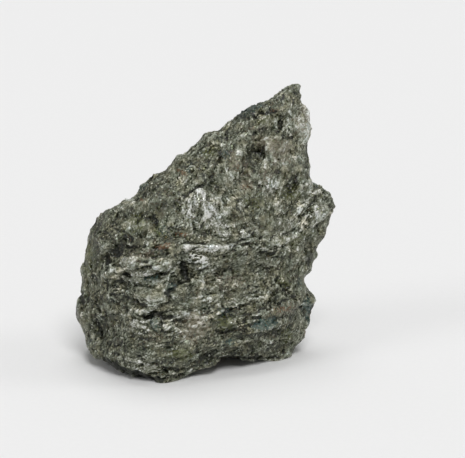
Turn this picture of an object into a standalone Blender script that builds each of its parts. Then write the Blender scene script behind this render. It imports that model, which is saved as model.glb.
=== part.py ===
"""Ferrokesterite specimen: one broken stone of massive grey-green sulphide.

The stone is a thick wedge. Its broad front leans back a little, its foot is the thick end, and
it narrows to a point at the upper right. It is banded: thin ledges run across the front, and
they break the right-hand edge into lobes. It stands on a flat break under the foot.

The form is worked out square on to the front, in millimetres: x to the right, h up the front
and t into the stone. That frame leans back by LEAN_DEG, and its zero is on the ground in the
middle of the foot.
"""

import math

import bmesh
import bpy
import numpy as np
from mathutils import Vector

MM = 0.001
STONE = "ferrokesterite"
LEAN_DEG = 17.0  # of the frame that the form is worked out in
SPHERE_LEVEL = 6  # subdivisions of the sphere that is pushed into shape
FORM_GRAIN, STONE_GRAIN = 0.55 * MM, 0.38 * MM  # mesh size of the smooth form and of the rough stone
TRIANGLES = 9300  # of the finished stone
STONE_COLOUR = (0.115, 0.120, 0.095, 1.0)

# The outline of the front, anticlockwise from the right, as (x, h).
OUTLINE = [
    (23.9, 22.8), (23.8, 24.5), (25.4, 28.0), (26.7, 30.3), (27.1, 32.9), (26.0, 35.8),
    (24.9, 37.2), (22.6, 37.8), (21.8, 41.5), (21.2, 45.3), (22.0, 48.2), (21.8, 52.0),
    (21.3, 53.2), (20.0, 54.4), (20.0, 55.8), (19.6, 57.9), (18.7, 58.7), (16.6, 57.4), (13.2, 54.9),
    (9.5, 53.4), (6.5, 51.8), (3.6, 49.2), (0.2, 48.0), (-1.7, 45.9), (-5.3, 43.6),
    (-7.4, 40.6), (-11.3, 39.4), (-14.0, 36.1), (-15.6, 33.9), (-20.2, 31.7), (-22.5, 30.3),
    (-23.7, 28.2), (-24.6, 25.3), (-25.6, 21.5), (-25.9, 18.2), (-26.3, 15.2), (-27.0, 12.7),
    (-26.9, 10.4), (-26.3, 7.7), (-25.2, 4.3), (-23.5, 2.4), (-21.4, 0.7), (-17.9, -0.9),
    (-13.7, -2.2), (-10.5, -3.3), (-8.8, -4.0), (-5.7, -3.0), (-2.1, -1.2), (1.6, 0.2),
    (3.4, 1.1), (6.1, 1.6), (8.6, 0.7), (13.7, 0.5), (16.4, 0.7), (18.3, 2.2), (20.0, 4.3),
    (21.2, 6.6), (22.3, 9.3), (22.5, 11.2), (23.1, 12.7), (22.3, 14.6), (20.4, 17.0),
    (21.6, 18.8), (22.3, 20.3), (23.3, 21.9),
]
MIDDLE = (-1.0, 22.5)  # every point of the outline is in sight of this one

# The edge between the front and the back, as (direction from the middle in degrees, its depth t,
# how square it is). A squareness of 2 is round and 6 is nearly a box.
EDGE = [
    (-180, 0.0, 2.6), (-143, 3.0, 2.6), (-133, -5.0, 3.0), (-125, -8.5, 3.0), (-115, -10.5, 3.5),
    (-106, -11.0, 4.0), (-92, -8.0, 4.0), (-78, -5.5, 4.0), (-66, -2.5, 4.0), (-56, 1.5, 4.5),
    (-50, 4.0, 4.5), (-30, 6.5, 3.5), (0, 4.5, 3.5), (20, 2.5, 3.5), (60, -3.0, 4.0),
    (120, -4.0, 4.5), (155, -2.0, 3.0), (180, 0.0, 2.6),
]
EDGE_ROUGHNESS = 0.45  # the edge's share of the roughness of the faces

# Broken faces. The depth of the front, and of the back, is the least of its planes. Each plane is
# (depth at x 0 and h 0, slope along x, slope along h).
FRONT_FACES = {
    "right of the keel": (11.0, -0.46, 0.10),
    "left of the keel": (21.5, 0.60, 0.10),
    "towards the top": (24.0, -0.05, -0.26),
    "foot, right": (9.9, -0.75, 0.90),
    "foot, left": (15.0, 0.15, 0.45),
}
BACK_FACES = {
    "broad back": (14.5, -0.02, -0.20),
    "towards the top": (25.0, -0.05, -0.44),
    "left shoulder": (27.0, 0.70, -0.15),
    "right side": (22.0, -0.55, -0.15),
}
CREASE = 0.7  # how far the break between two faces is rounded, mm

# Ledges on the front: the line of the upper edge from (x, h) to (x, h), how far the stone below
# it stands proud, and the distance over which that fades out.
LEDGES = [
    ((-21.2, 19.8), (-14.7, 23.0), 2.0, 5.0),
    ((-15.5, 22.9), (-5.7, 24.7), 2.0, 5.0),
    ((-4.8, 24.7), (4.8, 24.9), 2.0, 3.0),
    ((-11.6, 19.3), (-6.1, 21.9), 1.3, 1.6),
    ((-7.8, 15.2), (-0.5, 17.5), 1.6, 4.0),
    ((-17.0, 13.0), (-10.5, 16.0), 1.3, 3.0),
    ((2.5, 10.0), (14.0, 13.5), 1.4, 3.0),
    ((8.0, 8.0), (18.5, 13.6), 1.5, 3.0),
    ((9.0, 6.6), (16.0, 9.2), 1.2, 2.5),
    ((-4.0, 4.2), (8.0, 6.8), 1.2, 3.0),
    ((5.5, 51.0), (13.0, 53.2), 1.2, 1.5),
    ((-4.0, 40.5), (3.0, 44.0), 1.2, 2.5),
]

# Pockets (a minus height) and knobs on the front: (x, h), half length, half width, tilt in
# degrees from level, height.
POCKETS_AND_KNOBS = [
    ((-16.3, 18.6), 0.9, 0.5, 0, -1.1),
    ((-10.5, 18.2), 3.0, 0.6, 13, -1.3),
    ((-16.4, 17.0), 1.3, 0.6, 0, -1.0),
    ((-3.8, 19.6), 2.4, 1.3, 95, -2.3),
    ((-5.6, 16.3), 2.6, 0.8, 35, -1.3),
    ((-17.6, 23.8), 1.9, 1.3, 100, -1.7),
    ((-20.4, 20.9), 2.0, 0.8, 40, -1.0),
    ((10.7, 44.2), 1.8, 1.3, 80, -1.8),
    ((15.7, 49.9), 1.1, 0.7, 60, -1.0),
    ((11.6, 48.6), 2.4, 0.7, 15, -0.9),
    ((17.9, 36.2), 2.4, 1.0, 70, -1.3),
    ((-25.8, 13.1), 1.3, 0.9, 90, -1.0),
    ((-22.0, 7.2), 2.1, 1.0, 100, -1.3),
    ((-22.3, 11.2), 1.1, 0.8, 90, -0.9),
    ((-9.9, 9.6), 3.6, 0.7, 3, -1.2),
    ((5.2, 11.0), 1.9, 0.8, 10, -1.2),
    ((10.7, 9.1), 1.5, 0.7, 10, -1.2),
    ((16.2, 15.2), 1.4, 0.9, -40, -0.9),
    ((1.5, 2.2), 2.0, 1.0, 5, -1.0),
    ((0.6, 37.9), 1.6, 0.9, 30, -1.0),
    ((-3.6, 35.6), 2.6, 0.6, 35, -0.9),
    ((-11.1, 29.9), 1.5, 0.9, -45, -0.9),
    ((-7.8, -1.6), 1.0, 0.8, 0, -0.8),
    ((-1.3, 35.0), 1.9, 1.6, 80, 1.3),
    ((1.2, 32.7), 2.3, 1.6, -60, 1.4),
    ((0.0, 21.3), 2.2, 1.5, -20, 0.9),
    ((-3.2, 8.5), 3.0, 1.5, 15, 0.9),
    ((-14.7, 9.3), 2.6, 1.1, 95, 0.7),
    ((-11.1, 15.2), 3.5, 1.2, 12, 0.8),
]

# The banding. Its directions are (x, h, t): along a band on the front, and across it.
BAND_ALONG = (0.955, 0.297, 0.0)
BAND_ACROSS = (-0.277, 0.891, -0.36)
BAND_THICK, BAND_STEP = 2.6, 0.65
SLAB_SIZE, SLAB_STEP = (7.5, 3.2, 5.5), 0.75  # the broken slabs: along, across and into the bands
SWELL_SIZE, SWELL_STEP = 13.0, 0.9  # the slow swelling of the faces


def hashed(cells, seed):
    """Three numbers from 0 to 1 for each row of whole numbers, always the same for the same row."""
    keys = (cells.astype(np.int64) * np.array([73856093, 19349663, 83492791])).sum(-1) + seed * 2654435761
    mixed = []
    for k in range(3):
        bits = (keys + k * 40503) & 0xFFFFFFFF
        for _ in range(2):
            bits = ((bits ^ (bits >> 15)) * 0x2C1B3C6D) & 0xFFFFFFFF
            bits = ((bits ^ (bits >> 12)) * 0x297A2D39) & 0xFFFFFFFF
        mixed.append((bits ^ (bits >> 15)) / 0xFFFFFFFF)
    return np.stack(mixed, -1)


def smooth_step(value):
    value = np.clip(value, 0.0, 1.0)
    return value * value * (3.0 - 2.0 * value)


def swell(points, size, seed):
    """Smooth noise from -1 to 1: random values at the corners of a cubic lattice, blended between them."""
    place = points / size
    corner = np.floor(place)
    share = smooth_step(place - corner)
    total = 0.0
    for step in np.ndindex(2, 2, 2):
        step = np.array(step)
        weight = np.prod(np.where(step, share, 1.0 - share), -1)
        total = total + weight * hashed(corner + step, seed)[:, 0]
    return 2.0 * total - 1.0


def band_frame(points):
    """Coordinates along the bands, across them and in the third direction."""
    along, across = (np.array(v) / np.linalg.norm(v) for v in (BAND_ALONG, BAND_ACROSS))
    return points @ np.stack([along, across, np.cross(along, across)], -1)


def slabs(points, size, seed):
    """A stone broken into slabs: each point takes the height of a tilted face that belongs to
    the nearest of a lattice of scattered centres."""
    place = band_frame(points) / size
    cell = np.floor(place)
    nearest = np.full(len(points), np.inf)
    height = np.zeros(len(points))
    for step in np.ndindex(3, 3, 3):
        around = cell + np.array(step) - 1
        away = place - around - hashed(around, seed)
        distance = (away**2).sum(-1)
        level = hashed(around, seed + 1)
        tilted = 2.0 * level[:, 0] - 1.0 + 1.6 * (away * (level - 0.5)).sum(-1)
        closer = distance < nearest
        nearest = np.where(closer, distance, nearest)
        height = np.where(closer, tilted, height)
    return height


def bands(points, seed):
    """Layers of uneven hardness: a step at each layer's edge, on coordinates bent by slow noise."""
    level = band_frame(points)[:, 1] / BAND_THICK + 0.6 * swell(points, 9.0, seed)
    layer = np.floor(level)
    share = smooth_step((level - layer - 0.75) / 0.25)
    ends = [hashed(np.stack([layer + k, 0 * layer, 0 * layer], -1), seed)[:, 0] for k in (0, 1)]
    return 2.0 * (ends[0] * (1.0 - share) + ends[1] * share) - 1.0


def outline_reach(angle):
    """Distance from MIDDLE to the outline in each direction: where the ray crosses its side."""
    corners = np.array(OUTLINE) - MIDDLE
    corners = corners[np.argsort(np.arctan2(corners[:, 1], corners[:, 0]))]
    after = np.searchsorted(np.arctan2(corners[:, 1], corners[:, 0]), angle) % len(corners)
    start, end = corners[after - 1], corners[after]
    ray, side = np.stack([np.cos(angle), np.sin(angle)], -1), end - start
    return (start[:, 0] * side[:, 1] - start[:, 1] * side[:, 0]) / (ray[:, 0] * side[:, 1] - ray[:, 1] * side[:, 0])


def least_depth(faces, x, h):
    """The least of the planes at each place, with the creases rounded."""
    depths = np.array([a + b * x + c * h for a, b, c in faces.values()])
    return -CREASE * np.log(np.exp(-depths / CREASE).sum(0))


def front_relief(x, h):
    """Ledges, pockets and knobs: how far the front stands proud at each place."""
    proud = np.zeros_like(x)
    for start, end, rise, fade in LEDGES:
        run = np.subtract(end, start)
        length = np.hypot(*run)
        along = ((x - start[0]) * run[0] + (h - start[1]) * run[1]) / length
        below = ((x - start[0]) * run[1] - (h - start[1]) * run[0]) / length
        inside = smooth_step((along + 1.0) / 2.0) * smooth_step((length + 1.0 - along) / 2.0)
        proud += rise * inside * smooth_step(below / 0.6 + 0.5) * np.exp(-np.maximum(below, 0.0) / fade)
    for middle, half_length, half_width, tilt, height in POCKETS_AND_KNOBS:
        c, s = math.cos(math.radians(tilt)), math.sin(math.radians(tilt))
        along = ((x - middle[0]) * c + (h - middle[1]) * s) / half_length
        aside = ((h - middle[1]) * c - (x - middle[0]) * s) / half_width
        proud += height * np.exp(-((along**2 + aside**2) ** 1.5) * 0.7)
    return proud


def form(sphere):
    """The stone's smooth form from points on a unit sphere: each point goes out to the outline
    in its own direction, and from the edge's depth towards the depth of the faces there. Between
    edge and faces it follows a squared-off circle: share of reach to the power n plus share of
    depth to the power n is 1."""
    angle = np.arctan2(sphere[:, 1], sphere[:, 0])
    ring, rise = np.hypot(sphere[:, 0], sphere[:, 1]), np.abs(sphere[:, 2])
    degrees, edge_t, square = np.array(EDGE).T
    edge_t = np.interp(np.degrees(angle), degrees, edge_t)
    square = np.interp(np.degrees(angle), degrees, square)
    scale = (ring**square + rise**square) ** (-1.0 / square)
    reach = ring * scale * outline_reach(angle)
    x, h = MIDDLE[0] + reach * np.cos(angle), MIDDLE[1] + reach * np.sin(angle)
    front = sphere[:, 2] < 0.0
    face = np.where(front, least_depth(FRONT_FACES, x, h), least_depth(BACK_FACES, x, h))
    depth = np.maximum(face + np.where(front, edge_t, -edge_t), 1.5) * rise * scale
    depth += np.where(front, front_relief(x, h) * smooth_step(rise * scale * 2.0), 0.0)
    return np.stack([x, h, edge_t + np.where(front, -depth, depth)], -1)


def roughness(points):
    """How far the broken surface stands off the smooth form, outwards."""
    size = np.array(SLAB_SIZE)
    return (
        BAND_STEP * bands(points, 5)
        + SLAB_STEP * slabs(points, size, 11)
        + 0.5 * SLAB_STEP * slabs(points, size / 1.9, 23)
        + SWELL_STEP * swell(points, SWELL_SIZE, 3)
    )


def upright(points):
    """From the leaning frame to the ground's: x stays, h and t turn about x."""
    lean = math.radians(LEAN_DEG)
    x, h, t = points.T
    return np.stack([x, h * math.sin(lean) + t * math.cos(lean), h * math.cos(lean) - t * math.sin(lean)], -1)


def coordinates(mesh):
    found = np.empty(len(mesh.vertices) * 3, np.float32)
    mesh.vertices.foreach_get("co", found)
    return found.reshape(-1, 3).astype(float)


def evened(mesh, grain):
    """The same surface in even small faces, with nothing crossing itself."""
    thing = bpy.data.objects.new(STONE, mesh)
    bpy.context.scene.collection.objects.link(thing)
    remesh = thing.modifiers.new("even", "REMESH")
    remesh.mode = "VOXEL"
    remesh.voxel_size = grain
    even = bpy.data.meshes.new_from_object(thing.evaluated_get(bpy.context.evaluated_depsgraph_get()))
    bpy.data.objects.remove(thing)
    return even


def stone_mesh():
    """A sphere pushed into the stone's form, then roughened along its own normals."""
    shape = bmesh.new()
    bmesh.ops.create_icosphere(shape, subdivisions=SPHERE_LEVEL, radius=1.0)
    mesh = bpy.data.meshes.new(STONE)
    shape.to_mesh(mesh)
    shape.free()
    mesh.vertices.foreach_set("co", (form(coordinates(mesh)) * MM).astype(np.float32).ravel())
    mesh.update()
    mesh = evened(mesh, FORM_GRAIN)
    points = coordinates(mesh) / MM
    normals = np.empty(points.size, np.float32)
    mesh.vertex_normals.foreach_get("vector", normals)
    normals = normals.reshape(-1, 3)
    share = EDGE_ROUGHNESS + (1.0 - EDGE_ROUGHNESS) * np.abs(normals[:, 2])
    points += normals * (roughness(points) * share)[:, None]
    mesh.vertices.foreach_set("co", (upright(points) * MM).astype(np.float32).ravel())
    mesh.update()
    return evened(mesh, STONE_GRAIN)


def stone_material():
    material = bpy.data.materials.new(STONE)
    material.use_nodes = True
    shader = material.node_tree.nodes["Principled BSDF"]
    shader.inputs["Base Color"].default_value = STONE_COLOUR
    shader.inputs["Metallic"].default_value = 0.35
    shader.inputs["Roughness"].default_value = 0.48
    return material


def collection(name):
    made = bpy.data.collections.new(name)
    bpy.context.scene.collection.children.link(made)
    return made


def ground_cutter(into):
    """A block whose top is the ground: what it takes off leaves the flat that the stone stands on."""
    side = 120 * MM
    shape = bmesh.new()
    bmesh.ops.create_cube(shape, size=side)
    mesh = bpy.data.meshes.new("ground_cutter")
    shape.to_mesh(mesh)
    shape.free()
    cutter = bpy.data.objects.new("ground_cutter", mesh)
    cutter.location.z = -side / 2
    cutter.hide_render = True
    cutter.display_type = "WIRE"
    into.objects.link(cutter)
    return cutter


def main():
    for old in list(bpy.data.objects):
        bpy.data.objects.remove(old)
    stone = bpy.data.objects.new(STONE, stone_mesh())
    collection("ferrokesterite specimen").objects.link(stone)
    stone.data.materials.append(stone_material())
    thin = stone.modifiers.new("thin", "DECIMATE")
    thin.ratio = TRIANGLES / (2 * len(stone.data.polygons))
    cut = stone.modifiers.new("foot", "BOOLEAN")
    cut.operation = "DIFFERENCE"
    cut.object = ground_cutter(collection("cutters"))

    # The origin goes to the middle of the stone's own box, on the ground.
    bpy.context.view_layer.update()
    box = [Vector(c) for c in stone.evaluated_get(bpy.context.evaluated_depsgraph_get()).bound_box]
    stone.location.x = -sum(c.x for c in box) / 8
    stone.location.y = -sum(c.y for c in box) / 8


main()
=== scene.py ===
import math

import bmesh
import bpy
import numpy as np
from mathutils import Matrix, Vector


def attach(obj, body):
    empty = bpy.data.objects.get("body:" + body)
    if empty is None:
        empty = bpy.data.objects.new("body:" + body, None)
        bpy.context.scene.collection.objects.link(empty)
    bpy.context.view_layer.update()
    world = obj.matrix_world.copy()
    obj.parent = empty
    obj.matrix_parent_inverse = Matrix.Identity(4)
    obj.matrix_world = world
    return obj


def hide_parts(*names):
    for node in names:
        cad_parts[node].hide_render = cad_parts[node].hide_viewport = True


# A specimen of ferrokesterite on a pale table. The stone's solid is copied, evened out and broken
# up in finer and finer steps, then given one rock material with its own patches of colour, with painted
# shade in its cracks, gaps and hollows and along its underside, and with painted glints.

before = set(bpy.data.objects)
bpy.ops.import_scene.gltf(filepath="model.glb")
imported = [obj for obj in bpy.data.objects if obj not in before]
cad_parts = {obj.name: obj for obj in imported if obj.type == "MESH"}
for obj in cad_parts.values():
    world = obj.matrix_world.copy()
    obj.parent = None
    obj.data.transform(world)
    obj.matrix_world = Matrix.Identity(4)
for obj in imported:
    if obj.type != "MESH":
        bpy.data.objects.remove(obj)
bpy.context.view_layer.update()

mm = 0.001
leanAngle = math.radians(17)  # the broad front's frame leans back by this
footMiddle = np.array((-0.214, -2.106, 0.0))  # where that frame's zero is on the table, in mm

hashing = {
    "axes": (73856093, 19349663, 83492791), "seed": 2654435761, "column": 40503,  # large odd numbers
    "rounds": ((15, 0x2C1B3C6D), (12, 0x297A2D39)), "whole": 0xFFFFFFFF,
}


def hashed(cells, seed):
    # three numbers from 0 to 1 for each row of whole numbers, the same each time for the same row:
    # the row times large odd numbers, added up, then its bits shifted, compared and multiplied
    whole = hashing["whole"]
    keys = (cells.astype(np.int64) * np.array(hashing["axes"])).sum(-1) + seed * hashing["seed"]
    mixed = []
    for k in range(3):
        bits = (keys + k * hashing["column"]) & whole
        for shift, factor in hashing["rounds"] * 2:
            bits = ((bits ^ (bits >> shift)) * factor) & whole
        mixed.append((bits ^ (bits >> 15)) / whole)
    return np.stack(mixed, -1)


def softStep(value, low=0.0, high=1.0):
    # 0 below low, 1 above high, and 3s^2 - 2s^3 of the share s between
    share = np.clip((value - low) / (high - low), 0.0, 1.0)
    return share * share * (3.0 - 2.0 * share)


def softNoise(place, seed):
    # random values at the corners of a unit lattice, blended smoothly between them: -1 to 1; each
    # use of the noise has a seed of its own
    corner = np.floor(place)
    share = softStep(place - corner)
    total = 0.0
    for step in np.ndindex(2, 2, 2):
        step = np.array(step)
        weight = np.prod(np.where(step, share, 1.0 - share), -1)
        total = total + weight * hashed(corner + step, seed)[:, 0]
    return 2.0 * total - 1.0


def layeredNoise(place, seed, octaves=3):
    # soft noise added to itself at twice the rate and half the strength, again and again
    return sum(softNoise(place * 2**k, seed + k) / 2**k for k in range(octaves)) / (2 - 2 ** (1 - octaves))


def raggedNoise(place, seed, layers):
    # soft noises added up: each layer has its size and its height, in mm
    return sum(height * softNoise(place / size, seed + k) for k, (size, height) in enumerate(layers))


def patchy(place, seed, kind):
    # 1 where the noise of this kind is high and 0 where it is low, with a soft step between
    size, low, high = stone["patchy"][kind]
    return softStep(softNoise(place / size, seed), low, high)


def fromMiddle(front, x, h, tilt):
    # how far each place lies from (x, h), along the tilt and square to it, in mm
    c, s = math.cos(math.radians(tilt)), math.sin(math.radians(tilt))
    rightward, upward = front[:, 0] - x, front[:, 1] - h
    return rightward * c + upward * s, upward * c - rightward * s


def onFront(front):
    # 1 on the front and 0 behind it, where nothing is placed
    return 1.0 - softStep(front[:, 2], *stone["frontEnds"])


def brokenCells(place, seed, tilt):
    # the nearest of a lattice of scattered centres decides: each has a height, from -1 to 1, and a
    # face that tilts away from it. Gives that face's height, the centre's own random number and how
    # much further off the second nearest centre is: 0 on the border between two cells.
    cell = np.floor(place)
    nearest, second = np.full(len(place), np.inf), np.full(len(place), np.inf)
    height, chance = np.zeros(len(place)), np.zeros(len(place))
    for step in np.ndindex(3, 3, 3):
        around = cell + np.array(step) - 1
        away = place - around - hashed(around, seed)
        distance = np.sqrt((away**2).sum(-1))
        own = hashed(around, seed + 1)
        face = 2.0 * own[:, 0] - 1.0 + tilt * (away * (own - 0.5)).sum(-1)
        closer = distance < nearest
        height = np.where(closer, face, height)
        chance = np.where(closer, own[:, 1], chance)
        second = np.minimum(second, np.maximum(nearest, distance))
        nearest = np.minimum(nearest, distance)
    return height, chance, second - nearest


def frontFrame(points):
    # from metres on the table to millimetres square on to the front: x, h up it and t into it
    x, y, z = (points / mm - footMiddle).T
    c, s = math.cos(leanAngle), math.sin(leanAngle)
    return np.stack([x, y * s + z * c, y * c - z * s], -1)


camera = {
    "elevation": 17.0,  # degrees
    "distance": 430.0,  # mm
    "imageWidth": 97.65,  # mm across the view at the stone
    "aim": (5.775, 28.035),  # the view's middle on the front's frame, in mm
    "sensor": 36.0,  # mm
    "nearest": 10.0,  # what is nearer than this isn't seen, in mm
}


def asSeen(front):
    # x and h as they look from the camera: their distance from the view's middle, stretched by
    # distance / (distance + t); t stays as it is
    middle = np.array((*camera["aim"], 0.0))
    stretch = camera["distance"] / (camera["distance"] + front[:, 2:])
    return np.concatenate([(front - middle)[:, :2] * stretch + middle[:2], front[:, 2:]], 1)


# How the grain lies: its climb across the front in each zone, and how far the bands dip inwards
grain = {
    "low": 10.0, "lobe": 54.0, "slant": -52.0, "high": 78.0, "dip": 14.0,  # degrees
    # the zones' borders, in mm; two heights or places are where a border begins and ends
    "lowTop": (26.0, 29.0), "lowLeft": (-15.5, -13.5), "lowSlope": 0.25,
    "lobeLeft": (17.5, 19.5), "lobeSlope": 0.35, "lobeHeight": 34.0, "lobeTop": 44.0,
    "slantMiddle": (5.6, 32.5), "slantSize": (4.4, 6.5),
}


def grainFrame(front, tilt, dip=0.0):
    # coordinates along the grain, across it and into the stone: the front's frame, turned by tilt
    # within the front and then by dip about the grain's own line
    a, d = math.radians(tilt), math.radians(dip)
    along = np.array((math.cos(a), math.sin(a), 0.0))
    across = np.array((-math.sin(a) * math.cos(d), math.cos(a) * math.cos(d), -math.sin(d)))
    return front @ np.stack([along, across, np.cross(along, across)], -1)


# Where the outline goes in or out: x, h, how far round it, and how far across and up, in mm
nudges = [
    (-20.6, 32.2, 3.0, -0.3, 0.55), (-17.2, 34.0, 3.2, -0.2, 0.55), (-23.6, 29.6, 2.4, 0.55, -0.35),
    (-11.8, 39.3, 2.8, 0.1, -0.65), (-9.0, 40.5, 2.6, 0.0, -0.85), (-3.8, 44.8, 3.2, 0.1, -0.85),
    (6.6, 52.1, 2.8, 0.1, -1.05), (12.6, 55.4, 1.6, 0.0, -0.45), (16.2, 57.2, 3.2, -0.2, 0.35),
    (19.7, 58.0, 1.9, 0.85, 0.6), (20.2, 54.8, 1.5, -0.75, 0.0), (21.6, 53.0, 1.6, 0.55, 0.15),
    (21.8, 48.4, 3.2, 0.95, 0.0), (22.2, 39.2, 2.4, -0.45, 0.0), (26.4, 35.0, 2.0, 0.45, 0.1),
    (24.4, 26.0, 3.0, 0.75, 0.0), (22.2, 19.4, 2.0, 0.55, 0.0), (22.8, 12.9, 2.2, 0.85, 0.0),
    (20.4, 5.0, 2.4, 0.65, -0.1), (-26.6, 15.2, 4.0, 0.6, 0.0), (-26.0, 5.6, 4.0, 0.7, 0.0),
]


def nudged(points):
    # the points moved within the front's plane, by each nudge times the share of its radius that is
    # left at the point, and less and less near the table
    at = asSeen(frontFrame(points))[:, :2]
    moved = 0.0
    for x, h, radius, *by in nudges:
        moved = moved + np.outer(softStep(1.0 - np.hypot(*(at - (x, h)).T) / radius), by)
    moved = moved * softStep(points[:, 2:] / mm, *stone["flatFoot"]) * mm
    s, c = math.sin(leanAngle), math.cos(leanAngle)
    return points + np.stack([moved[:, 0], moved[:, 1] * s, moved[:, 1] * c], -1)


def grainZones(front):
    # how far each point belongs to the banded lower half, to the right lobe and to the slanting
    # stretch between them, 0 to 1; all the rest is upright. The borders wander with a noise.
    wander = raggedNoise(front, 40, stone["ragged"]["zones"])
    x, h, t = front.T
    low = 1.0 - softStep(h + wander, *grain["lowTop"])
    low = low * softStep(x + grain["lowSlope"] * h + 0.7 * wander, *grain["lowLeft"])
    lobe = softStep(x - grain["lobeSlope"] * (h - grain["lobeHeight"]) + 0.5 * wander, *grain["lobeLeft"])
    lobe = lobe * softStep(grain["lobeTop"] - h + wander, 0.0, 4.0)
    aside = (front[:, :2] - grain["slantMiddle"]) / grain["slantSize"]
    slant = softStep(1.2 - np.hypot(*aside.T) + 0.1 * wander, 0.0, 0.3) * (t < 0.0)
    return {"low": low * (1.0 - lobe), "lobe": lobe * (1.0 - low), "slant": slant * (1.0 - low)}


stone = {
    "mesh": 0.328 * mm,  # mesh size
    "smoothing": 3,  # rounds that take the solid's facets off first
    # size and height of each kind of broken face, in mm, and how far the faces tilt; three sizes
    # run along, across and into the grain
    "plate": ((5.0, 1.5, 3.2), 0.22, 1.6),  # broken plates in the lower half
    "facet": (3.6, 0.18, 2.4),  # broken faces in the upper half
    "chip": (1.2, 0.035, 2.2),
    "flake": ((2.3, 0.5, 0.7), 0.085, 2.0),
    "lump": ((2.8, 0.95, 1.7), 0.04, 1.6),  # grains that part along their borders
    # size and height of the other relief, in mm
    "swell": (4.5, 0.20),
    "leaf": (0.95, 0.15),  # leaves lapped like tiles in the lower half
    "leafLength": 4.0,
    "slot": ((5.0, 0.9, 3.0), 0.45),  # gaps between the leaves
    "slotWidth": 0.12,  # where the slots' noise is closer to zero than this, there is a slot
    "gap": 0.28,  # depth of the gaps between lumps and round the blocks
    "gapWidth": 0.18,
    "calmed": 0.7,  # share of the chips and flakes that goes where the stone is calm
    "crack": 0.55, "vein": 0.15,  # depth and height of the lines on the front, in mm
    "flatFoot": (0.15, 0.9),  # heights between which the relief sets in, in mm
    "frontEnds": (-4.0, 3.0),  # depths between which the front's relief fades out, in mm
    "patchesEnd": (-4.0, 2.0), "linesEnd": (-1.0, 5.0),  # the same for the patches and the lines
    "ledgeEnd": 1.0, "ledgeRim": 0.25,  # how softly a ledge ends, and how softly it steps, in mm
    "shake": (0.9, 0.35),  # size and reach of the noise that bends the lines, in mm
    "patchEdge": 1.3, "patchesBehind": 5.5,  # sizes of the noises for the patches, in mm
    "behindFrom": (0.62, 0.8), "behindStrength": 0.85,  # how high the noise is where they are
    # the gaps, slots and grooves are cut in and also darkened in colour, as painted shade
    "gapPaintedShade": 0.75, "veinPale": 0.8,  # how dark the gaps are and how pale the veins
    # the crests lighten the colour where the surface stands out and darken it in hollows: painted highlight
    # and painted shade
    "crests": {"sharp": 3, "proud": 30},  # rounds of averaging that each kind of crest stands out of
    "gapsFrom": (0.75, 1.1),  # chances between which a lump's border opens
    "leafShift": 0.37,  # how far the breaks of one strip are from those of the next, in lengths
    "ragged": {  # size and height of each noise in these edges, in mm
        "zones": ((6.0, 3.0), (1.8, 1.2)), "ledges": ((1.6, 0.30), (0.7, 0.15)),
        "blocks": ((1.1, 0.40), (0.5, 0.20)), "shards": ((0.8, 0.14), (0.4, 0.08)),
        "lumps": ((0.8, 0.35),),
        # these heights are in strips, and in chances
        "leaves": ((6.5, 1.2), (2.0, 0.45)), "gaps": ((2.2, 0.7),),
    },
    "patchy": {  # size of each noise, in mm, and the values between which its step lies
        "slots": (2.6, 0.05, 0.4), "grooves": (1.4, -0.35, 0.25), "lines": (1.2, -0.45, 0.05),
    },
}

# The lists below place what is on the front by x and h, in mm as seen from the camera.

# Ledges: from x, h to x, h, height, and how soon the step fades out below it
ledges = [
    (-4.8, 24.8, 5.8, 24.6, 0.8, 1.5), (-12.6, 19.2, -5.2, 22.6, 0.45, 1.3),
    (-20.6, 19.6, -13.0, 20.4, 0.7, 1.5), (-7.6, 15.8, -1.0, 18.4, 0.7, 1.8),
    (1.6, 10.2, 9.0, 13.4, 0.7, 1.6), (9.0, 13.4, 17.4, 14.6, 0.6, 1.6), (3.4, 8.2, 14.6, 12.0, 0.6, 1.2),
    (8.4, 6.2, 18.0, 9.6, 0.6, 1.4), (-13.6, 8.6, -6.0, 10.2, 0.6, 1.4), (-5.4, 4.8, 7.0, 6.6, 0.5, 1.2),
    (6.4, 51.2, 14.2, 55.0, 0.7, 1.6), (9.4, 46.4, 17.6, 48.0, 0.5, 1.4),
    (-19.4, 26.4, -12.4, 30.2, 0.5, 1.6), (4.0, 28.6, 12.6, 31.2, 0.4, 1.4),
    (10.6, 21.2, 20.0, 24.4, 0.5, 1.4), (19.0, 36.4, 24.4, 40.0, 0.5, 1.0),
    (18.6, 31.6, 24.6, 37.6, 0.5, 1.0),
]


def ledgeRelief(front):
    # each ledge stands proud just below its own ragged line and fades out further down
    x, h, _ = front.T
    ragged = raggedNoise(front, 31, stone["ragged"]["ledges"])
    total, edge, rim = 0.0, stone["ledgeEnd"], stone["ledgeRim"]
    for startX, startH, endX, endH, rise, fade in ledges:
        run = np.array((endX - startX, endH - startH))
        length = np.hypot(*run)
        along = ((x - startX) * run[0] + (h - startH) * run[1]) / length
        below = ((x - startX) * run[1] - (h - startH) * run[0]) / length + ragged
        inside = softStep(along, -edge, edge) * softStep(length - along, -edge, edge)
        faded = np.exp(-np.maximum(below, 0.0) / fade)
        total = total + rise * inside * softStep(below, -rim, rim) * faded
    return total * onFront(front)


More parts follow.
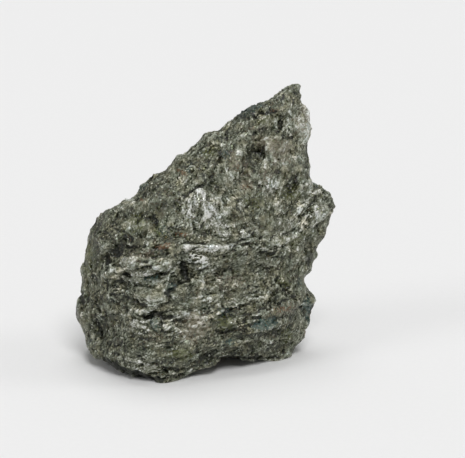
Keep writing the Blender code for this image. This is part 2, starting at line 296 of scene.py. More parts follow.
# Blocks that stand proud, each over its own groove: x, h, half length, half width, tilt in degrees,
# height
blocks = [
    (-18.5, 17.9, 0.9, 0.9, 0, 0.22), (-8.1, 7.2, 0.9, 0.8, 0, 0.19), (-18.9, 11.3, 1.6, 0.7, 88, 0.17),
    (-21.7, 11.2, 1.4, 0.6, 90, 0.17), (-15.6, 11.0, 1.1, 0.6, 85, 0.17),
    (-23.9, 11.0, 1.9, 0.9, 95, 0.17), (-19.6, 7.8, 1.5, 0.8, 80, 0.19),
    (-23.8, 6.8, 1.6, 0.9, 110, 0.17), (-18.8, 4.6, 1.4, 0.9, 10, 0.17),
    (-24.0, 16.4, 1.8, 1.1, 90, 0.14), (-21.8, 15.4, 1.4, 0.9, 80, 0.14),
    (-22.6, 19.4, 1.5, 1.1, 80, 0.17), (13.6, 36.9, 1.6, 0.9, 95, 0.19), (17.2, 28.7, 1.6, 1.4, 80, 0.14),
    (16.2, 25.4, 3.2, 0.8, 2, 0.14), (23.0, 35.4, 1.4, 0.9, 15, 0.19), (23.8, 32.0, 1.5, 0.9, 35, 0.17),
    (17.3, 39.2, 2.2, 1.8, 75, 0.14), (4.9, 40.3, 1.2, 1.0, 70, 0.17), (13.2, 8.2, 2.3, 1.0, 10, 0.17),
    (-2.9, 8.0, 1.2, 0.6, -10, 0.17), (3.1, 10.7, 1.0, 0.7, 25, 0.17), (12.9, 4.6, 1.2, 0.7, 0, 0.14),
    (21.0, 9.8, 1.4, 0.9, 15, 0.17), (21.6, 13.2, 1.6, 1.0, 80, 0.17), (-10.2, 8.3, 1.2, 0.9, 90, 0.11),
    (8.0, 23.6, 0.9, 0.6, 10, 0.17), (13.0, 23.7, 1.3, 0.5, -10, 0.17), (5.9, 34.4, 1.4, 0.6, 20, 0.14),
    (8.0, 33.4, 1.2, 0.7, 60, 0.14),
]


def blockRelief(front):
    # each block's top is level out to its ragged rim, where |along|^3 + |aside|^3 is about 1, and a
    # groove, up to 0.4 mm to each side of a line just outside the rim, runs along parts of it below
    ragged = raggedNoise(front, 141, stone["ragged"]["blocks"])
    broken = patchy(front, 143, "grooves")
    raised, groove = np.zeros(len(front)), np.zeros(len(front))
    for x, h, length, width, tilt, rise in blocks:
        along, aside = fromMiddle(front, x, h, tilt)
        rim = (np.abs(along / length) ** 3 + np.abs(aside / width) ** 3) ** (1 / 3)
        beyond = (rim - 1.0) * width + ragged
        under = softStep((h - front[:, 1]) / width, -0.5, 0.5)
        raised = np.maximum(raised, rise * (1.0 - softStep(beyond, -0.4, 0.05)))
        # the groove runs below the block, where its shadow falls; it is cut in and its colour darkened as
        # painted shadow
        groove = np.maximum(groove, softStep(0.38 - np.abs(beyond - 0.15), 0.0, 0.3) * broken * under)
    return raised * onFront(front), groove * onFront(front)


# Shards and lenses: height, groove under it, how pale, how calm, then x, h of each corner
shards = [
    (0.08, 0.0, 0.85, 0.2, -2.9, 34.9, -2.0, 36.4, -1.1, 36.9, 0.0, 36.4, 0.6, 35.2, 0.2, 34.0,
     -2.4, 33.4),
    (0.06, 0.0, 0.7, 0.2, -4.4, 34.2, -2.9, 34.6, -2.6, 33.0, -3.2, 30.4, -4.6, 30.6, -4.9, 32.8),
    (0.09, 0.0, 1.0, 0.5, 0.5, 33.4, 1.7, 33.2, 3.3, 30.6, 2.9, 30.2),
    (0.07, 0.0, 0.9, 0.4, -0.6, 32.7, 0.3, 32.5, 1.3, 31.2, 1.2, 30.5, -0.5, 31.9),
    (0.04, 0.0, 0.85, 0.2, 0.2, 30.7, 1.3, 30.7, 1.3, 29.0, 0.6, 28.9),
    (0.06, 0.0, 0.4, 0.2, 0.9, 34.0, 1.6, 34.5, 2.9, 34.5, 3.2, 33.8, 2.4, 33.2, 1.2, 33.3),
    (0.22, 0.3, 0.45, 0.3, -4.7, 24.8, 5.7, 24.6, 4.6, 23.6, 2.6, 22.5, 1.2, 22.7, -4.7, 23.7),
    (0.2, 0.1, 0.42, 0.3, -4.4, 22.9, -0.4, 22.5, 0.9, 22.0, 0.6, 21.4, -1.6, 21.1, -3.6, 21.4),
    (0.18, 0.2, 0.45, 0.3, -1.4, 21.0, 0.6, 21.1, 0.4, 19.6, -0.6, 19.4, -1.7, 20.4),
    (0.14, 0.4, 0.45, 0.2, 7.2, 27.4, 8.4, 28.4, 9.8, 28.4, 10.3, 27.0, 9.0, 26.2, 7.5, 26.2),
    (0.22, 0.4, 0.22, 0.6, -18.1, 20.8, -16.6, 22.0, -14.6, 22.5, -12.4, 22.2, -10.9, 21.4, -11.2, 20.6,
     -13.4, 20.1, -16.6, 20.0),
    (0.22, 0.4, 0.06, 0.8, -10.9, 20.3, -9.4, 21.8, -6.8, 22.7, -6.1, 22.0, -6.4, 20.8, -8.2, 19.4,
     -10.4, 19.5),
    (0.22, 0.4, 0.3, 0.8, -15.4, 18.5, -14.6, 19.0, -13.0, 19.0, -11.8, 18.6, -12.4, 17.0, -14.4, 16.8,
     -15.5, 17.4),
    (0.2, 0.4, 0.0, 0.8, -7.9, 18.4, -7.2, 19.5, -5.2, 19.5, -5.0, 17.6, -6.0, 16.8, -7.7, 17.1),
    (0.18, 0.4, 0.3, 0.8, -15.0, 14.4, -14.0, 15.7, -10.0, 16.5, -8.2, 16.0, -7.7, 14.6, -8.6, 13.0,
     -11.6, 12.8, -13.8, 13.5),
    (0.2, 0.4, 0.4, 0.5, -15.0, 10.1, -14.7, 11.1, -13.2, 11.4, -11.2, 11.2, -11.0, 10.7, -12.2, 10.1),
    (0.16, 0.4, 0.4, 0.2, -15.8, 8.3, -14.8, 8.9, -13.2, 8.4, -12.4, 7.4, -13.6, 7.0, -14.8, 7.5),
    (0.14, 0.4, 0.25, 0.2, -18.2, 7.2, -17.0, 7.6, -15.2, 7.4, -15.2, 5.6, -16.4, 5.2, -18.0, 6.0),
    (0.14, 0.4, 0.35, 0.2, -12.9, 7.6, -11.4, 7.6, -11.2, 6.6, -12.6, 6.4),
    (0.16, 0.4, 0.55, 0.2, -9.0, 7.2, -8.2, 7.9, -7.2, 7.9, -7.2, 6.8, -8.6, 6.5),
]


def shardShapes(front):
    # each shard stands proud inside the straight lines between its corners, by how deep inside the
    # nearest line is; a groove runs along its underside. Also gives how pale and how calm it is.
    ragged = raggedNoise(front, 151, stone["ragged"]["shards"])
    raised, groove, pale, calm = (np.zeros(len(front)) for _ in range(4))
    for rise, cut, lightness, calmness, *corners in shards:
        corners = np.reshape(corners, (-1, 2))
        middle, depth = corners.mean(0), np.full(len(front), np.inf)
        for start, end in zip(corners, np.roll(corners, -1, 0)):
            side = np.array((start[1] - end[1], end[0] - start[0])) / np.hypot(*(end - start))
            side = side * np.sign((middle - start) @ side)
            depth = np.minimum(depth, (front[:, :2] - start) @ side)
        depth = depth + ragged
        inside = softStep(depth, -0.15, 0.15)
        under = softStep(middle[1] - front[:, 1], -0.1, 0.4)
        raised = np.maximum(raised, rise * inside)
        # the groove runs under the shard, where its shadow falls; it is cut in and its colour darkened as
        # painted shadow
        groove = np.maximum(groove, cut * softStep(0.34 - np.abs(depth + 0.3), 0.0, 0.25) * under)
        pale, calm = np.maximum(pale, lightness * inside), np.maximum(calm, calmness * inside)
    return [values * onFront(front) for values in (raised, groove, pale, calm)]


def brokenFaces(name, place, seed):
    # broken cells of the size, height and tilt that the stone has for this kind
    size, height, tilt = stone[name]
    face, tone, border = brokenCells(place / np.array(size), seed, tilt)
    return height * face, tone, border


def leafRelief(front, banded):
    # strips along the bands, each sloping up to its lower edge: the share of the way down the strip
    # plus a random number for each length of it, times the leaf's height
    size, rise = stone["leaf"]
    leaf = banded[:, 1] / size + raggedNoise(front, 81, stone["ragged"]["leaves"])
    strip = np.floor(leaf)
    piece = np.floor(banded[:, 0] / stone["leafLength"] + stone["leafShift"] * strip)
    own = hashed(np.stack([strip, piece, 0 * strip], -1), 83)[:, 0]
    return rise * ((1.0 - (leaf - strip)) * (0.2 + own) - 0.5)


def stoneRelief(front, zones, cracks, veins, calm, raised, grooves):
    # how far the surface stands off the evened solid, in mm: plates, leaves and slots that lie with
    # the bands in the lower half, faces in the upper one, lumps, chips, flakes, blocks and ledges.
    # The slots follow the line where a noise stretched along the bands passes zero. Also gives a
    # lightness for each broken face, and how far each point lies in a gap.
    low, seen = zones["low"], asSeen(front)
    banded = grainFrame(front, grain["low"], grain["dip"])
    flow = np.where(low[:, None] > 0.5, banded, grainFrame(front, grain["high"]))
    for name in ("lobe", "slant"):
        flow = np.where(zones[name][:, None] > 0.5, grainFrame(front, grain[name]), flow)
    plate, plateTone, _ = brokenFaces("plate", banded, 51)
    facet, facetTone, _ = brokenFaces("facet", front, 55)
    chip, chipTone, _ = brokenFaces("chip", front, 61)
    flake, _, _ = brokenFaces("flake", flow, 71)
    shaken = flow + raggedNoise(front, 91, stone["ragged"]["lumps"])[:, None]
    lump, lumpTone, border = brokenFaces("lump", shaken, 93)
    across = layeredNoise(banded / np.array(stone["slot"][0]), 121, 2)
    slots = softStep(stone["slotWidth"] - np.abs(across), 0.0, 0.1) * patchy(front, 131, "slots") * low
    opened = softStep(lumpTone + raggedNoise(front, 133, stone["ragged"]["gaps"]), *stone["gapsFrom"])
    gaps = softStep(stone["gapWidth"] - border, 0.0, 0.14) * opened
    blockRaised, blockGrooves = blockRelief(seen)
    gaps = np.maximum.reduce([gaps, grooves, blockGrooves])
    relief = (
        raggedNoise(front, 111, [stone["swell"]])
        + plate * low
        + facet * (1.0 - 0.7 * low)
        + (1.0 - stone["calmed"] * calm) * (chip + flake)
        + lump
        + leafRelief(front, banded) * low
        - stone["slot"][1] * slots
        - stone["gap"] * gaps
        - stone["crack"] * cracks
        + stone["vein"] * veins
        + np.maximum(raised, blockRaised)
        + ledgeRelief(seen)
    )
    faces = 0.5 * plateTone * low + 0.5 * facetTone * (1.0 - low) + 0.25 * lumpTone + 0.25 * chipTone - 0.5
    return relief, faces, np.maximum(slots, gaps)


def crest(points, normals, ends, rounds):
    # how far each point stands above its neighbourhood: the point less the mean that it comes to
    # after so many rounds of averaging with its neighbours, measured along the normal, in mm
    count = np.bincount(ends.ravel(), minlength=len(points))[:, None]
    mean = points.copy()
    for _ in range(rounds):
        total = np.stack([
            np.bincount(ends[:, 0], mean[ends[:, 1], k], len(points))
            + np.bincount(ends[:, 1], mean[ends[:, 0], k], len(points))
            for k in range(3)
        ], -1)
        mean = 0.5 * mean + 0.5 * total / count
    return ((points - mean) * normals).sum(-1) / mm


def linked(name, data):
    thing = bpy.data.objects.new(name, data)
    bpy.context.scene.collection.objects.link(thing)
    return thing


def rowsOf(items, name, width=3, kind=np.float32):
    # what each of the mesh's items holds under this name, one row for each
    found = np.empty(len(items) * width, kind)
    items.foreach_get(name, found)
    return found.reshape(-1, width).astype(float if kind is np.float32 else kind)


def mergedCopy(node):
    # the solid's loose triangles, joined at their corners
    shape = bmesh.new()
    shape.from_mesh(node.data)
    bmesh.ops.remove_doubles(shape, verts=shape.verts, dist=0.01 * mm)
    mesh = bpy.data.meshes.new("rock")
    shape.to_mesh(mesh)
    shape.free()
    mesh.materials.clear()
    return mesh


def evened(mesh, size, rounds):
    # the same surface in even small faces, with its corners smoothed off
    thing = linked("evening", mesh)
    even = thing.modifiers.new("even", "REMESH")
    even.mode, even.voxel_size = "VOXEL", size
    soft = thing.modifiers.new("soft", "SMOOTH")
    soft.factor, soft.iterations = 0.5, rounds
    made = bpy.data.meshes.new_from_object(thing.evaluated_get(bpy.context.evaluated_depsgraph_get()))
    bpy.data.objects.remove(thing)
    return made


def addMask(mesh, name, values):
    mesh.attributes.new(name, "FLOAT", "POINT").data.foreach_set("value", values.astype(np.float32))


# Patches of colour, of painted shade and of calm grain: x, h, half length, half width, tilt in degrees,
# strength
patches = {
    "pale": [
        (-1.4, 32.0, 3.8, 3.2, 90, 0.55), (2.6, 29.6, 2.8, 1.2, -60, 0.75),
        (1.4, 32.6, 3.2, 1.8, -54, 0.8), (3.6, 27.8, 2.8, 1.3, -65, 0.7), (-9.0, 28.4, 1.4, 1.4, 0, 0.2),
        (-1.8, 9.2, 3.2, 2.0, 10, 0.55), (1.2, 13.4, 3.4, 1.2, 10, 0.35),
        (14.0, 36.8, 2.8, 2.4, 90, 0.85), (9.6, 35.8, 2.4, 2.2, 0, 0.45), (3.6, 33.0, 3.0, 2.0, 90, 0.5),
        (20.8, 36.0, 1.6, 1.4, 0, 0.6), (-13.2, 33.2, 1.8, 1.4, 0, 0.3), (-13.4, 16.0, 3.6, 1.0, 5, 0.3),
        (-10.6, 11.4, 2.6, 1.0, 0, 0.25), (16.6, 25.2, 4.2, 1.8, 3, 0.5), (13.0, 28.2, 2.4, 2.4, 0, 0.2),
        (17.0, 28.4, 2.2, 2.0, 90, 0.5), (20.6, 50.6, 3.4, 1.4, 100, 0.6),
        (17.4, 49.2, 2.6, 1.5, 90, 0.35), (18.4, 44.4, 2.2, 2.4, 90, 0.4), (14.4, 46.4, 2.4, 1.0, 5, 0.3),
        (-10.2, 16.2, 2.6, 1.0, 10, 0.4), (20.4, 47.6, 1.8, 1.6, 90, 0.7),
        (14.6, 45.4, 3.6, 1.7, -20, 0.35), (5.8, 45.2, 3.0, 1.2, -25, 0.4), (5.0, 40.2, 1.3, 1.2, 0, 0.5),
        (23.0, 35.4, 1.6, 1.1, 15, 0.45), (-13.0, -1.0, 3.8, 1.2, -15, 0.4),
        (7.6, 36.2, 3.4, 2.4, -30, 0.42), (14.0, 33.3, 1.8, 1.6, 0, 0.4), (-6.0, 6.4, 1.6, 1.4, 0, 0.45),
        (4.6, 26.6, 2.8, 1.2, 0, 0.42), (16.0, 43.4, 3.4, 2.0, -60, 0.3), (13.0, 40.5, 1.4, 3.2, 5, 0.25),
        (-5.6, 37.6, 2.0, 1.2, 30, 0.3), (7.0, 13.6, 4.0, 1.4, 12, 0.2), (12.0, 14.4, 2.4, 1.2, 10, 0.35),
        (23.6, 29.2, 1.8, 1.6, 40, 0.6), (20.8, 20.0, 1.6, 1.4, 0, 0.45),
        (20.4, 30.2, 3.6, 2.0, 60, 0.65), (20.6, 33.0, 1.5, 2.0, 0, 0.95), (12.8, 4.6, 1.8, 1.0, 0, 0.25),
        (9.0, 16.6, 5.0, 2.0, 10, 0.2), (7.2, 16.5, 1.8, 1.6, 0, 0.45), (-17.8, 10.2, 1.6, 1.2, 80, 0.2),
        (0.6, 16.8, 2.4, 1.5, 10, 0.42), (20.9, 50.0, 3.6, 1.7, 95, 1.0), (15.2, 50.2, 3.6, 1.5, 0, 0.6),
        (20.8, 46.4, 2.4, 1.5, 90, 0.7), (14.6, 44.4, 3.2, 2.6, 90, 0.42), (7.4, 33.4, 2.2, 1.8, 0, 0.4),
        (24.2, 32.4, 3.4, 1.6, 70, 0.9), (0.6, 19.4, 1.5, 1.3, 0, 0.5), (7.4, 50.2, 2.2, 1.6, 30, 0.3),
        (0.7, 30.0, 1.8, 1.3, 90, 0.95), (24.0, 33.6, 2.2, 1.6, 0, 0.7), (24.0, 30.0, 2.0, 1.4, 40, 0.5),
        (0.2, 20.0, 2.0, 1.4, 0, 0.8), (-1.6, 21.8, 2.6, 1.0, 0, 0.7), (-2.6, 23.3, 2.2, 0.9, 0, 0.8),
        (-6.3, 20.3, 1.5, 1.2, 30, 0.25), (2.6, 19.6, 2.4, 1.2, 10, 0.35),
        (-11.0, 13.2, 5.2, 1.5, 5, 0.38), (-13.4, 16.6, 5.2, 1.4, 5, 0.5),
        (-16.0, 19.6, 1.6, 1.3, 0, 0.3), (-9.6, 16.2, 1.4, 0.7, 0, 0.4), (-16.2, 9.6, 1.8, 1.5, 0, 0.65),
        (-1.2, 9.8, 3.6, 1.6, 0, 1.0), (-17.8, 6.5, 2.4, 1.4, 0, 0.35), (-4.8, 9.8, 2.0, 1.3, 0, 0.6),
        (12.6, 43.0, 3.2, 1.6, 0, 0.3), (21.0, 13.2, 1.5, 1.4, 0, 0.35), (-2.4, 13.0, 2.4, 1.2, 0, 0.4),
        (-18.4, 17.6, 1.8, 1.3, 0, 0.3), (-16.2, 33.4, 2.0, 1.3, 30, 0.6),
        (-16.2, 29.8, 1.8, 1.6, 0, 0.4), (21.8, 36.4, 3.2, 1.4, 20, 0.6),
    ],
    # dark: partly the stone's own darker tone, partly painted shade: the patches along the bottom edge and
    # the underside and over the pockets darken where shade falls
    "dark": [
        (-18.2, 24.4, 2.4, 1.1, 62, 0.65), (-20.5, 21.6, 1.8, 0.7, 85, 0.6),
        (-10.6, 32.4, 3.8, 2.2, 40, 0.35), (3.4, 20.8, 2.2, 1.1, 25, 0.35),
        (-4.3, 19.6, 2.0, 0.9, 104, 0.9), (-22.0, 9.0, 4.0, 2.6, 95, 0.35), (4.6, 8.2, 2.1, 1.5, 0, 0.5),
        (16.4, 16.5, 1.8, 1.0, 10, 0.55), (18.0, 35.9, 2.0, 1.6, 40, 0.5), (9.2, 43.8, 1.9, 1.0, 80, 0.5),
        (11.2, 44.6, 1.6, 1.1, 60, 0.55), (13.6, 2.6, 5.4, 1.7, 2, 0.4), (10.0, 52.5, 3.9, 1.2, 25, 0.85),
        (-12.9, 37.0, 2.6, 0.8, 50, 0.5), (3.2, 43.2, 2.2, 0.7, 85, 0.45), (-5.4, 1.3, 3.2, 1.5, 5, 0.45),
        (-20.0, 5.2, 2.8, 1.8, -35, 0.3), (17.2, 39.4, 2.2, 1.8, 75, 0.3), (1.8, 39.8, 2.0, 0.7, 80, 0.5),
        (-25.8, 13.2, 1.4, 0.8, 85, 0.6), (-17.0, 17.0, 1.7, 0.8, 5, 0.6), (-7.8, 9.6, 2.0, 0.7, 0, 0.45),
        (15.6, 50.0, 1.8, 0.8, 78, 0.5), (11.0, 48.6, 2.4, 0.8, 12, 0.45), (10.8, 50.6, 1.4, 1.0, 0, 0.4),
        (-15.4, 13.0, 3.4, 0.7, -25, 0.4), (16.6, 9.6, 3.8, 3.4, 0, 0.46),
        (-23.4, 21.6, 4.4, 1.6, 85, 0.3), (22.0, 32.6, 2.8, 0.7, 48, 0.45),
        (-6.0, 3.6, 4.6, 1.4, 5, 0.25), (3.0, 3.4, 3.6, 1.6, 0, 0.3), (-4.9, 26.6, 1.6, 0.7, 0, 0.5),
        (7.2, 4.8, 2.6, 1.6, 0, 0.3), (16.6, 22.2, 3.2, 0.7, 2, 0.4), (-2.4, 42.4, 2.6, 1.6, 35, 0.25),
        (-22.4, 13.2, 4.4, 1.6, 0, 0.42), (9.6, 7.8, 7.8, 4.0, 6, 0.42), (3.6, 9.2, 2.4, 1.4, 0, 0.6),
        (16.4, 11.4, 3.4, 2.6, 0, 0.42), (-21.6, 27.6, 3.4, 2.6, 60, 0.45),
        (-11.2, 36.4, 3.4, 1.8, 40, 0.6), (-7.8, 36.8, 2.4, 1.3, 40, 0.45),
        (-6.2, 33.4, 1.6, 1.4, 0, 0.4), (-6.6, 26.0, 3.0, 1.7, 0, 0.5), (-3.0, 16.0, 1.8, 1.0, 10, 0.4),
        (-16.2, 23.2, 2.8, 1.0, 10, 0.7), (-9.4, 19.6, 1.6, 0.6, 10, 0.2),
        (-8.0, 21.4, 2.2, 1.0, 25, 0.3), (7.4, 23.0, 1.6, 0.9, 0, 0.68), (11.2, 40.4, 1.8, 1.6, 80, 0.5),
        (14.1, 39.8, 1.6, 1.4, 0, 0.35), (15.0, 15.6, 2.4, 1.2, 0, 0.5), (18.4, 54.6, 1.6, 1.4, 60, 0.4),
        (18.4, 57.2, 2.0, 1.2, 40, 0.4), (-19.0, 12.6, 3.0, 1.6, 0, 0.35), (-14.6, 3.1, 3.4, 1.4, 0, 0.6),
        (17.4, 33.6, 1.6, 1.5, 0, 0.4), (-15.0, -1.4, 5.4, 1.4, -15, 0.3),
        (-18.6, -0.9, 3.4, 0.8, -27, 1.0), (-13.2, -2.8, 3.6, 0.75, -17, 1.0),
        (9.6, 1.0, 6.6, 0.5, 0, 0.9), (-7.2, -1.6, 3.4, 2.0, 0, 0.6), (-9.8, 6.2, 1.4, 1.2, 0, 0.3),
        (0.4, 0.4, 2.6, 1.6, 5, 0.68), (12.0, 2.0, 6.4, 1.9, 0, 0.5), (2.0, 43.8, 4.8, 3.0, 30, 0.36),
        (3.8, 46.6, 1.8, 1.2, 30, 0.4), (15.4, 13.4, 3.2, 1.2, 15, 0.5),
        (-21.0, 0.6, 2.2, 1.6, -40, 0.35), (0.8, 46.4, 2.6, 1.7, 30, 0.3), (1.0, 36.9, 1.9, 1.1, 0, 0.6),
        (-19.6, 26.6, 2.2, 1.5, 0, 0.65), (-22.8, 28.2, 2.4, 1.6, 60, 0.45),
        (-9.8, 26.4, 2.4, 1.3, 0, 0.5), (-1.4, 40.0, 2.6, 1.4, 20, 0.35),
        (-10.2, 23.2, 3.2, 1.2, 12, 0.75), (4.4, 10.0, 2.2, 1.3, 10, 0.95), (10.7, 6.4, 2.6, 1.5, 0, 0.8),
        (14.8, 10.0, 2.4, 1.3, 10, 0.75), (10.8, 53.5, 2.4, 1.0, 25, 0.85),
        (-26.0, 13.0, 1.1, 2.4, 0, 0.5), (-20.0, 2.8, 3.8, 1.3, 0, 0.3), (-3.0, -0.5, 4.0, 1.2, 0, 0.35),
        (20.8, 43.2, 1.3, 2.0, 0, 0.4), (-6.4, 18.2, 1.4, 1.1, 0, 0.4), (-3.9, 18.0, 1.2, 2.2, 20, 0.35),
        (-0.9, 28.6, 1.8, 0.9, 90, 0.3), (17.6, 6.4, 2.6, 1.6, 0, 0.48), (-17.6, 31.4, 3.2, 1.6, 40, 0.3),
    ],
    "silver": [
        (-1.2, 34.6, 2.0, 1.8, 80, 1.0), (1.6, 31.4, 3.2, 1.6, -58, 1.0), (-2.6, 31.2, 3.2, 2.6, 80, 0.8),
        (3.8, 28.0, 3.0, 1.6, -65, 0.8), (0.4, 24.0, 4.8, 0.9, 3, 0.7), (-1.2, 21.4, 2.6, 1.2, -18, 0.7),
        (-12.6, 17.8, 3.6, 1.6, 10, 0.9), (-7.6, 20.0, 2.6, 1.4, 40, 0.5),
        (23.0, 33.6, 2.6, 3.4, -20, 0.7), (17.0, 28.8, 2.2, 1.8, 0, 0.8), (12.6, 21.6, 1.8, 2.4, 0, 0.6),
        (-13.0, 7.8, 3.4, 1.8, -10, 0.6), (-13.0, -0.8, 5.0, 1.6, -15, 0.6),
        (9.0, 28.0, 2.0, 1.8, 0, 0.5), (13.8, 36.8, 1.6, 1.8, 0, 0.5),
    ],
    "tan": [
        (-2.0, 7.4, 3.4, 3.0, 30, 0.8), (14.4, 45.4, 4.2, 1.8, -20, 0.7), (6.6, 42.4, 3.6, 1.8, -40, 0.5),
        (8.6, 37.2, 1.6, 1.0, -20, 0.8), (-13.5, 22.6, 4.0, 1.2, 14, 0.5), (5.4, 17.0, 3.6, 1.6, 10, 0.4),
        (16.6, 11.2, 2.8, 1.0, 10, 0.6), (12.6, 38.4, 1.4, 2.6, 0, 0.3), (22.0, 22.0, 2.0, 0.9, 15, 0.7),
        (-10.6, 5.6, 2.0, 1.2, 0, 0.4), (16.4, 42.4, 2.2, 2.6, 0, 0.4), (20.4, 50.6, 3.0, 1.7, 95, 0.5),
        (11.4, 49.6, 2.6, 0.9, 10, 0.4),
    ],
    "rust": [
        (-8.8, 24.4, 1.4, 0.45, 12, 0.8), (16.4, 11.2, 2.2, 0.4, 10, 0.35), (8.9, 36.9, 0.8, 0.4, 0, 0.5),
        (-4.6, 39.8, 1.4, 0.5, -30, 0.5), (-5.2, 26.9, 1.4, 0.5, 0, 0.45),
        (-13.4, 34.2, 0.4, 0.3, 0, 0.5), (6.8, 40.6, 0.6, 0.9, 0, 0.4), (14.8, 53.0, 1.2, 0.3, 0, 0.35),
    ],
    "teal": [
        (12.6, 8.2, 2.8, 1.1, 14, 0.9), (-10.5, 8.2, 1.0, 1.3, 0, 0.7), (5.0, 4.6, 1.3, 0.9, 0, 0.6),
        (-7.2, 15.8, 1.1, 0.7, 40, 0.45), (9.6, 52.9, 3.0, 0.9, 28, 0.5), (3.6, 10.6, 1.6, 0.7, 25, 0.5),
        (21.2, 10.0, 1.5, 0.8, 15, 0.5), (-24.6, 4.8, 0.8, 1.2, 20, 0.6),
        (-13.6, 36.6, 1.6, 0.6, 50, 0.5), (4.4, 43.4, 0.9, 1.8, 0, 0.4), (-11.6, 17.6, 1.6, 0.6, 10, 0.5),
        (-3.4, 41.0, 1.4, 0.8, 40, 0.3), (-8.8, 28.4, 1.2, 1.4, 0, 0.35), (13.9, 37.4, 0.5, 0.9, 0, 0.5),
        (-0.4, 11.8, 1.2, 0.8, 0, 0.3),
    ],
    # painted shadow: near-black over the underside at the lower left and lower right, where the stone meets
    # the table, and in the deepest pockets and hollows
    "paintedShadow": [
        (-18.4, -0.9, 3.0, 0.5, -27, 1.0), (-13.4, -2.8, 3.6, 0.6, -17, 1.0),
        (9.6, 0.9, 6.4, 0.3, 0, 0.9), (-4.4, 19.8, 1.5, 0.55, 100, 0.8), (9.4, 52.5, 2.8, 0.7, 26, 0.4),
        (-22.1, 7.0, 1.6, 0.4, 110, 0.7), (-7.4, 9.6, 1.7, 0.45, 0, 0.9),
    ],
    "calm": [
        (-10.6, 32.0, 4.8, 3.2, 40, 1.0), (16.2, 25.5, 3.6, 1.0, 3, 1.0), (17.3, 39.4, 2.3, 1.9, 75, 1.0),
        (-10.8, 14.2, 3.2, 1.4, 5, 0.9), (-12.4, 17.5, 2.4, 0.9, 8, 1.0), (17.0, 28.8, 1.7, 1.5, 80, 1.0),
        (12.8, 28.4, 2.2, 2.4, 0, 0.8), (-15.0, 29.0, 2.4, 2.0, 30, 0.7), (10.6, 34.4, 2.2, 2.6, 0, 0.8),
        (13.2, 8.6, 2.2, 1.0, 12, 0.9), (-1.0, 7.6, 2.4, 1.8, 20, 0.6), (12.4, 21.8, 1.8, 1.8, 0, 0.7),
        (-24.0, 21.0, 5.0, 1.4, 85, 0.6), (-7.0, 18.8, 1.6, 1.2, 20, 0.7),
        (20.8, 48.6, 3.4, 1.2, 92, 0.4), (14.4, 47.2, 3.4, 1.0, 5, 0.6), (4.6, 8.4, 1.8, 1.4, 0, 0.6),
        (-10.4, 8.0, 1.0, 1.2, 0, 0.9),
    ],
    "olive": [
        (-4.9, 1.6, 2.4, 1.2, 0, 0.9), (-9.0, 28.0, 2.0, 1.8, 0, 0.5), (-24.6, 22.0, 0.9, 3.4, 0, 0.6),
        (4.4, 8.4, 2.2, 1.6, 0, 0.6), (-15.0, 29.0, 3.0, 2.0, 30, 0.4), (10.4, 33.6, 2.4, 2.2, 0, 0.35),
        (16.6, 16.6, 1.8, 1.0, 0, 0.6), (18.0, 35.6, 2.2, 1.8, 0, 0.5), (17.0, 25.4, 3.6, 1.0, 3, 0.4),
        (13.2, 51.0, 3.0, 0.9, 10, 0.5), (0.8, 43.8, 1.4, 0.8, 0, 0.6), (21.6, 26.4, 2.0, 1.2, 0, 0.4),
    ],
}

